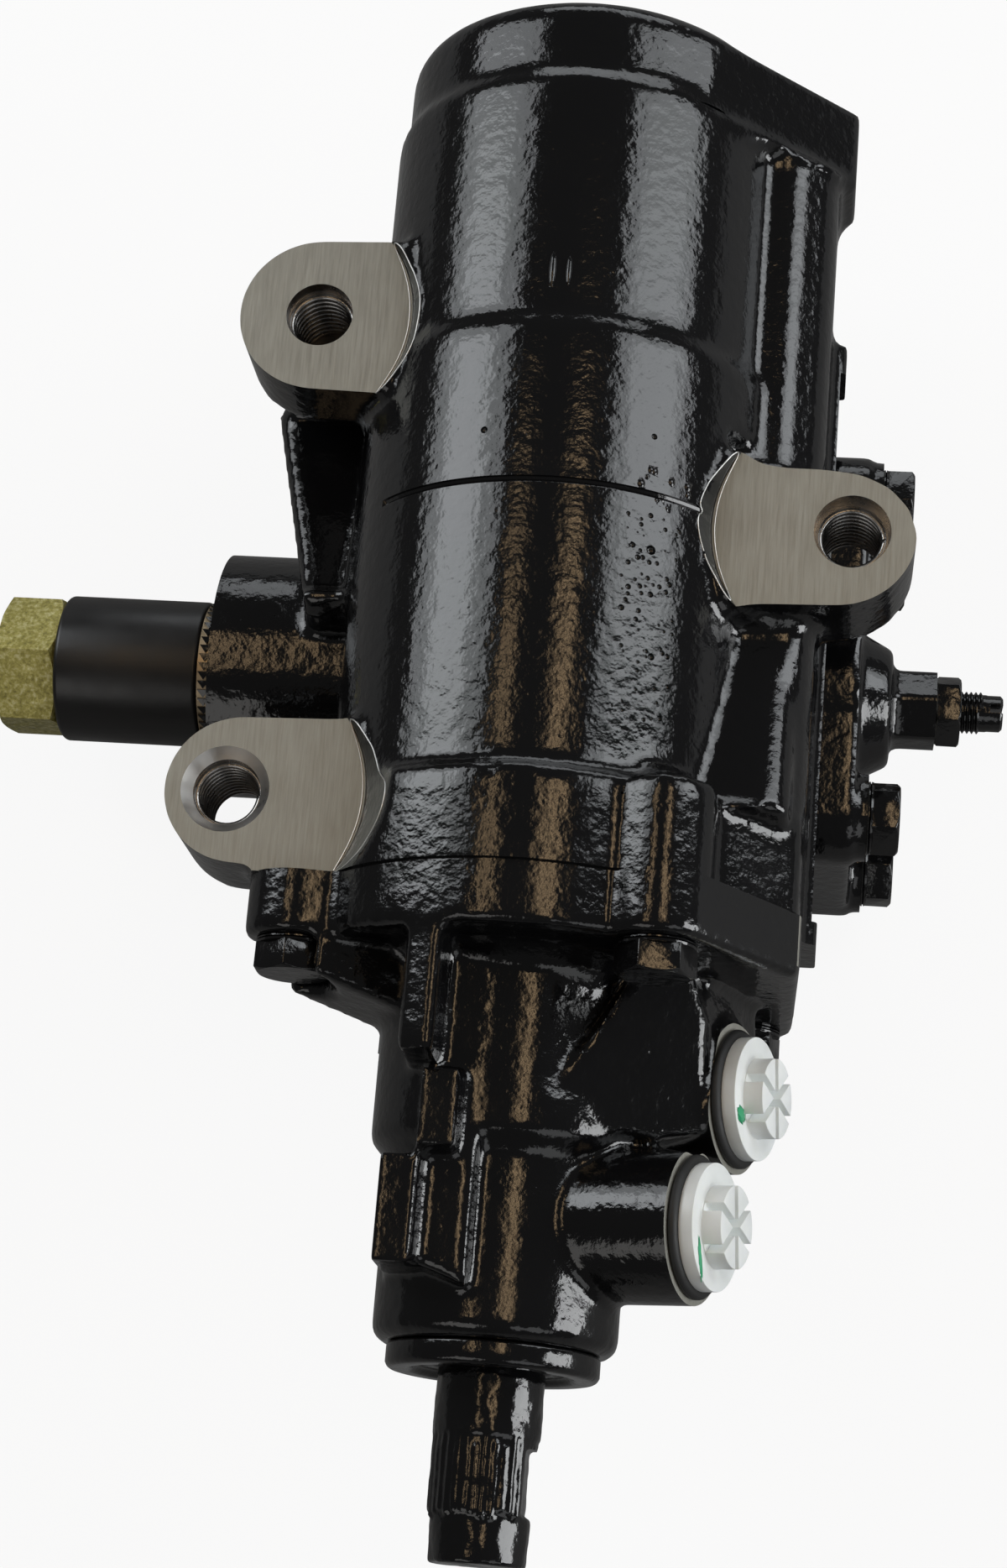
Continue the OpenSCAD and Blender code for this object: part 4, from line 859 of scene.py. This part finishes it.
def makeSplineEnd(cfg):
    place = rodMatrix(onSector(0), sectorAxis)
    low, high = cfg["from"], cfg["to"]
    bm = bmesh.new()
    revolve(bm, place, [(cfg["bore"], low), (cfg["sleeve"], low), (cfg["sleeve"], high), (cfg["bore"], high)])
    sleeve = rounded(toObject(bm, "spline_cover", sleeveBlack), cfg["round"], 5)
    standIn(shade(sleeve, 45), "spline_sleeve")
    low, high = cfg["toothFrom"], cfg["toothTo"]
    bm = bmesh.new()
    outline = [(cfg["ringBore"], low), (cfg["ring"], low), (cfg["ring"], high), (cfg["ringBore"], high)]
    revolve(bm, place, outline, 72)
    ring = toObject(bm, "spline_shoulder", toothSteel, paint)
    bm = bmesh.new()
    half = math.pi * cfg["tooth"] / cfg["teeth"]
    reach = cfg["toothLength"] * 0.667  # a three-cornered block of radius 1 is 1.5 long and 1.732 wide
    spread = Matrix.Diagonal((1, half / 0.866, reach, 1))
    foot = Matrix.Translation(Vector((cfg["tooth"] - cfg["toothSunk"], 0, low + reach)) * mm)
    for k in range(cfg["teeth"]):  # each tooth is a three-cornered block with its point toward the sleeve
        stand = place @ Matrix.Rotation(2 * math.pi * k / cfg["teeth"], 4, "Z") @ foot
        bmesh.ops.create_cone(bm, cap_ends=True, segments=3, radius1=mm, radius2=mm, depth=mm,
                              matrix=stand @ spread @ Matrix.Rotation(math.pi / 2, 4, "Y"))
    joinIn(ring, toMesh(bm), 1)
    ring.data.shade_flat()
    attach(ring, bodyOf["sector_shaft"])
    return ring


makeSplineEnd(splineEnd)
print("spline end done")


# shipping plugs in the ports, with their rubber rings

portPlug = {"edge": 0.55, "seal": 1.8, "thick": 3.0, "ring": 14.2, "ringBore": 7.5, "lowEdge": 0.4,
            "topEdge": 0.7, "dabSunk": 0.05, "dabWave": (0.18, 9000, 5000)}
plugDabs = {"pressure_port_plug": (ports[1], 8.6, -5.0, (2.2, 1.7, 0.25), 20),
            "return_port_plug": (ports[0], 7.6, -7.2, (0.8, 4.2, 0.25), -20)}  # across, along, size, tilt


def makePlug(node, cfg):
    bm = mergedCopy(node)
    bmesh.ops.dissolve_limit(bm, angle_limit=math.radians(1.0), verts=bm.verts, edges=bm.edges)
    return rounded(toObject(bm, node + "_moulded", plugWhite, inspectGreen), cfg["edge"], 3, 40.0)


def addDab(bm, height, port, across, along, size, tilt):  # dab of inspection paint on the plug's rim
    side = Vector((-portAxis.z, 0, portAxis.x))
    centre = port + portAxis * height + side * across + Vector((0, along, 0))
    turn = Matrix((side, Vector((0, 1, 0)), portAxis)).transposed().to_4x4()
    m = Matrix.Translation(centre * mm) @ turn @ Matrix.Rotation(math.radians(tilt), 4, "Z")
    made = bmesh.ops.create_icosphere(bm, subdivisions=3, radius=mm, matrix=m @ Matrix.Diagonal((*size, 1)))
    swell, alongY, alongX = portPlug["dabWave"]
    for v in made["verts"]:
        k = 1 + swell * math.sin(v.co.y * alongY + v.co.x * alongX)
        v.co = centre * mm + (v.co - centre * mm) * k


def makePlugs(cfg):
    for node, dab in plugDabs.items():
        obj = makePlug(node, cfg)
        bm = bmesh.new()
        addDab(bm, cfg["seal"] + cfg["thick"] - cfg["dabSunk"], *dab)
        joinIn(obj, toMesh(bm), 1)
        standIn(shade(obj, 40), node)
    bore, r, top = cfg["ringBore"], cfg["ring"], cfg["seal"]
    outline = [(bore, 0.0), (r - cfg["lowEdge"], 0.0), (r, 0.5), (r, 1.0), (r - cfg["topEdge"], top),
               (bore, top)]
    bm = bmesh.new()
    for p in ports:
        revolve(bm, rodMatrix(p, portAxis), outline)
    standIn(shade(toObject(bm, "plug_rings", rubber), 60), "port_plug_seals")


makePlugs(portPlug)
print("plugs done")


# seal retainer and the painted input shaft

retainer = {"from": 37.0, "to": 42.0, "bore": 12.0, "radius": 21.6, "edge": 1.0, "dish": (16.0, 16.6, 1.4),
            "rim": (0.6, 1.2)}


def makeRetainer(cfg):
    low, high, bore, r = cfg["from"], cfg["to"], cfg["bore"], cfg["radius"]
    inner, outer, deep = cfg["dish"]
    inset, drop = cfg["rim"]
    outline = [(bore, low + deep), (inner, low + deep), (outer, low), (r - inset, low), (r, low + drop),
               (r, high), (bore, high)]
    bm = bmesh.new()
    revolve(bm, rodMatrix((0, 0, 0), wormAxis), outline)
    ring = rounded(toObject(bm, "retainer_ring", paint), cfg["edge"], 3)
    return standIn(shade(ring, 45), "seal_retainer")


inputCoat = {"voxel": 0.5, "soften": 2, "pilot": ((0, 0.05, 0), wormAxis, 9.4, 9.7, 96, 9.95), "teeth": 34,
             "radius": 10.25, "flat": 8.2, "from": 9.0, "fromSpread": (-0.5, 1.5), "to": 31.0,
             "toSpread": (-9.0, 3.0), "thick": (0.5, 0.68), "taper": (0.6, 1.2), "seed": 7, "lump": 0.6,
             "grain": 0.006, "coatEnd": 0.0372, "coatInner": 0.0075,
             "endCut": ((-20, -10, -20), (20, 0.02, 20))}


def addClogged(bm, cfg):  # serrations half filled with paint
    draw = random.Random(cfg["seed"])
    for k in range(cfg["teeth"]):
        a = 2 * math.pi * k / cfg["teeth"]
        x, z = cfg["radius"] * math.cos(a), cfg["radius"] * math.sin(a)
        low = cfg["from"] + draw.uniform(*cfg["fromSpread"])
        high = cfg["to"] + draw.uniform(*cfg["toSpread"])
        thick = draw.uniform(*cfg["thick"])
        if x < cfg["flat"]:
            addRod(bm, (x, low, z), wormAxis, high - low, thick, 10, thick * draw.uniform(*cfg["taper"]))


def makeInputShaft(cfg):
    bm = mergedCopy("input_shaft")
    addRod(bm, *cfg["pilot"])
    addClogged(bm, cfg)
    obj = soften(toObject(bm, "input_coat", paint), cfg["voxel"], cfg["soften"])
    group = obj.vertex_groups.new(name="outside")
    outside = [v.index for v in obj.data.vertices
               if v.co.y < cfg["coatEnd"] and math.hypot(v.co.x, v.co.z) > cfg["coatInner"]]
    group.add(outside, 1.0, "REPLACE")
    clouds = bpy.data.textures.new("paintLumps", "CLOUDS")
    clouds.noise_scale = cfg["grain"]
    clouds.noise_depth = 2
    lumps = obj.modifiers.new("lumps", "DISPLACE")
    lumps.texture = clouds
    lumps.texture_coords = "LOCAL"
    lumps.strength = cfg["lump"] * mm
    lumps.mid_level = 0.5
    lumps.vertex_group = "outside"
    finished(obj)
    machine(obj, [(addBox, *cfg["endCut"])])
    return standIn(shade(obj, 60), "input_shaft")


makeRetainer(retainer)
inputShaft = makeInputShaft(inputCoat)
print("input end done,", len(inputShaft.data.polygons), "faces")


# camera, from a perspective fit

cameraFit = {"focal": 3679.3, "imageHeight": 1868, "sensor": 36.0, "distance": 654.61, "tilt": 16.748,
             "yaw": 6.169, "roll": 4.811, "target": (-7.615, 160.83, 0.0), "clip": (0.01, 20.0)}


def placeCamera(cfg):
    t, y, r = (math.radians(cfg[k]) for k in ("tilt", "yaw", "roll"))
    back = Vector((math.sin(y) * math.cos(t), -math.sin(t), math.cos(y) * math.cos(t))).normalized()
    right = Vector((0, 1, 0)).cross(back).normalized()
    above = back.cross(right)
    right, above = math.cos(r) * right + math.sin(r) * above, -math.sin(r) * right + math.cos(r) * above
    data = bpy.data.cameras.new("camera")
    data.sensor_width = cfg["sensor"]
    data.lens = cfg["focal"] / cfg["imageHeight"] * cfg["sensor"]
    data.clip_start, data.clip_end = cfg["clip"]
    cam = bpy.data.objects.new("camera", data)
    bpy.context.scene.collection.objects.link(cam)
    place = Matrix((right, above, back)).transposed().to_4x4()
    place.translation = (Vector(cfg["target"]) + back * cfg["distance"]) * mm
    cam.matrix_world = place
    bpy.context.scene.camera = cam


placeCamera(cameraFit)
print("camera placed")


# floor, backdrop and studio light

floorLook = {"color": 0.16, "seenColor": 0.9, "white": 0.9, "mirrored": 0.06, "rough": 0.9, "half": 3.0,
             "middle": 0.16, "gap": 0.0005}
backdropLook = {"around": 0.07, "white": 1.0}


def rayValue(tree, ray, rest, seen):  # one value for a kind of ray, another for the rest
    node = tree.nodes.new("ShaderNodeMath")
    node.operation = "MULTIPLY_ADD"
    node.inputs[1].default_value = seen - rest
    node.inputs[2].default_value = rest
    tree.links.new(ray, node.inputs[0])
    return node


def makeFloor(cfg):
    bm = bmesh.new()
    place = Matrix.Translation((0, cfg["middle"], cadBox[0].z - cfg["gap"]))
    bmesh.ops.create_grid(bm, x_segments=1, y_segments=1, size=cfg["half"], matrix=place)
    mat, tree, shader, where = newMaterial("paleFloor")
    shader.inputs["Roughness"].default_value = cfg["rough"]
    out = next(n for n in tree.nodes if n.type == "OUTPUT_MATERIAL")
    glow = tree.nodes.new("ShaderNodeEmission")
    rays = tree.nodes.new("ShaderNodeLightPath").outputs
    shown = rayValue(tree, rays["Is Camera Ray"], cfg["color"], cfg["seenColor"])
    tree.links.new(shown.outputs["Value"], shader.inputs["Base Color"])
    seen = rayValue(tree, rays["Is Camera Ray"], 0.0, cfg["white"])
    both = rayValue(tree, rays["Is Glossy Ray"], 0.0, cfg["mirrored"])
    tree.links.new(seen.outputs["Value"], both.inputs[2])
    mixNode = tree.nodes.new("ShaderNodeMixShader")
    tree.links.new(both.outputs["Value"], mixNode.inputs["Fac"])
    tree.links.new(shader.outputs["BSDF"], mixNode.inputs[1])
    tree.links.new(glow.outputs["Emission"], mixNode.inputs[2])
    tree.links.new(mixNode.outputs["Shader"], out.inputs["Surface"])
    floor = toObject(bm, "floor", mat)


def makeBackdrop(cfg):
    world = bpy.data.worlds.new("studio")
    world.use_nodes = True
    tree = world.node_tree
    rays = tree.nodes.new("ShaderNodeLightPath").outputs
    seen = rayValue(tree, rays["Is Camera Ray"], cfg["around"], cfg["white"])
    tree.links.new(seen.outputs["Value"], tree.nodes["Background"].inputs["Color"])
    bpy.context.scene.world = world


cool, warm, clear, mild = (0.93, 0.97, 1.0), (1.0, 0.7, 0.4), (0.97, 0.99, 1.0), (1.0, 0.98, 0.95)
studioLights = {  # place, what it faces, width, height, radiance and colour
    "softLeft": ((-0.9, 0.86, 0.7), (0, 0.86, 0), 0.8, 0.94, 2.2, cool),
    "softLeftCore": ((-0.88, 0.64, 0.68), (0, 0.64, 0), 0.45, 0.46, 2.2, cool),
    "softRight": ((0.92, 0.86, 0.7), (0, 0.86, 0), 0.66, 0.94, 2.4, cool),
    "softRightCore": ((0.9, 0.7, 0.69), (0, 0.7, 0), 0.34, 0.6, 1.4, cool),
    "warmLeft": ((-0.33, 0.31, 1.05), (-0.33, 0.31, 0.0), 0.17, 0.64, 0.9, warm),
    "warmLeftCore": ((-0.33, 0.31, 1.04), (-0.33, 0.31, 0.0), 0.035, 0.6, 3.0, warm),
    "warmRight": ((0.24, 0.31, 1.05), (0.24, 0.31, 0.0), 0.24, 0.64, 1.2, warm),
    "warmRightCore": ((0.24, 0.31, 1.04), (0.24, 0.31, 0.0), 0.045, 0.6, 3.5, warm),
    "fillRight": ((1.1, 0.0, 0.2), (0, 0.08, 0.0), 0.5, 0.7, 6.2, clear),
    "fillLow": ((0.6, -0.6, 0.6), (0, 0.15, 0), 0.6, 0.6, 0.8, clear),
    "fillLeft": ((-0.5, -0.75, 0.75), (-0.05, 0.18, 0), 0.7, 0.6, 1.0, mild),
    "fillBack": ((0.1, 1.35, 0.3), (0, 0.3, 0), 1.0, 0.4, 1.6, cool)}


def areaLight(name, at, toward, width, height, radiance, color):
    data = bpy.data.lights.new(name, "AREA")
    data.shape = "RECTANGLE"
    data.size, data.size_y = width, height
    data.energy = radiance * math.pi * width * height
    data.color = color
    obj = bpy.data.objects.new(name, data)
    obj.location = at
    obj.rotation_euler = (Vector(toward) - Vector(at)).to_track_quat("-Z", "Y").to_euler()
    bpy.context.scene.collection.objects.link(obj)


makeFloor(floorLook)
for name, values in studioLights.items():
    areaLight(name, *values)
makeBackdrop(backdropLook)
bpy.context.scene.view_settings.view_transform = "Standard"
print("floor and light placed")
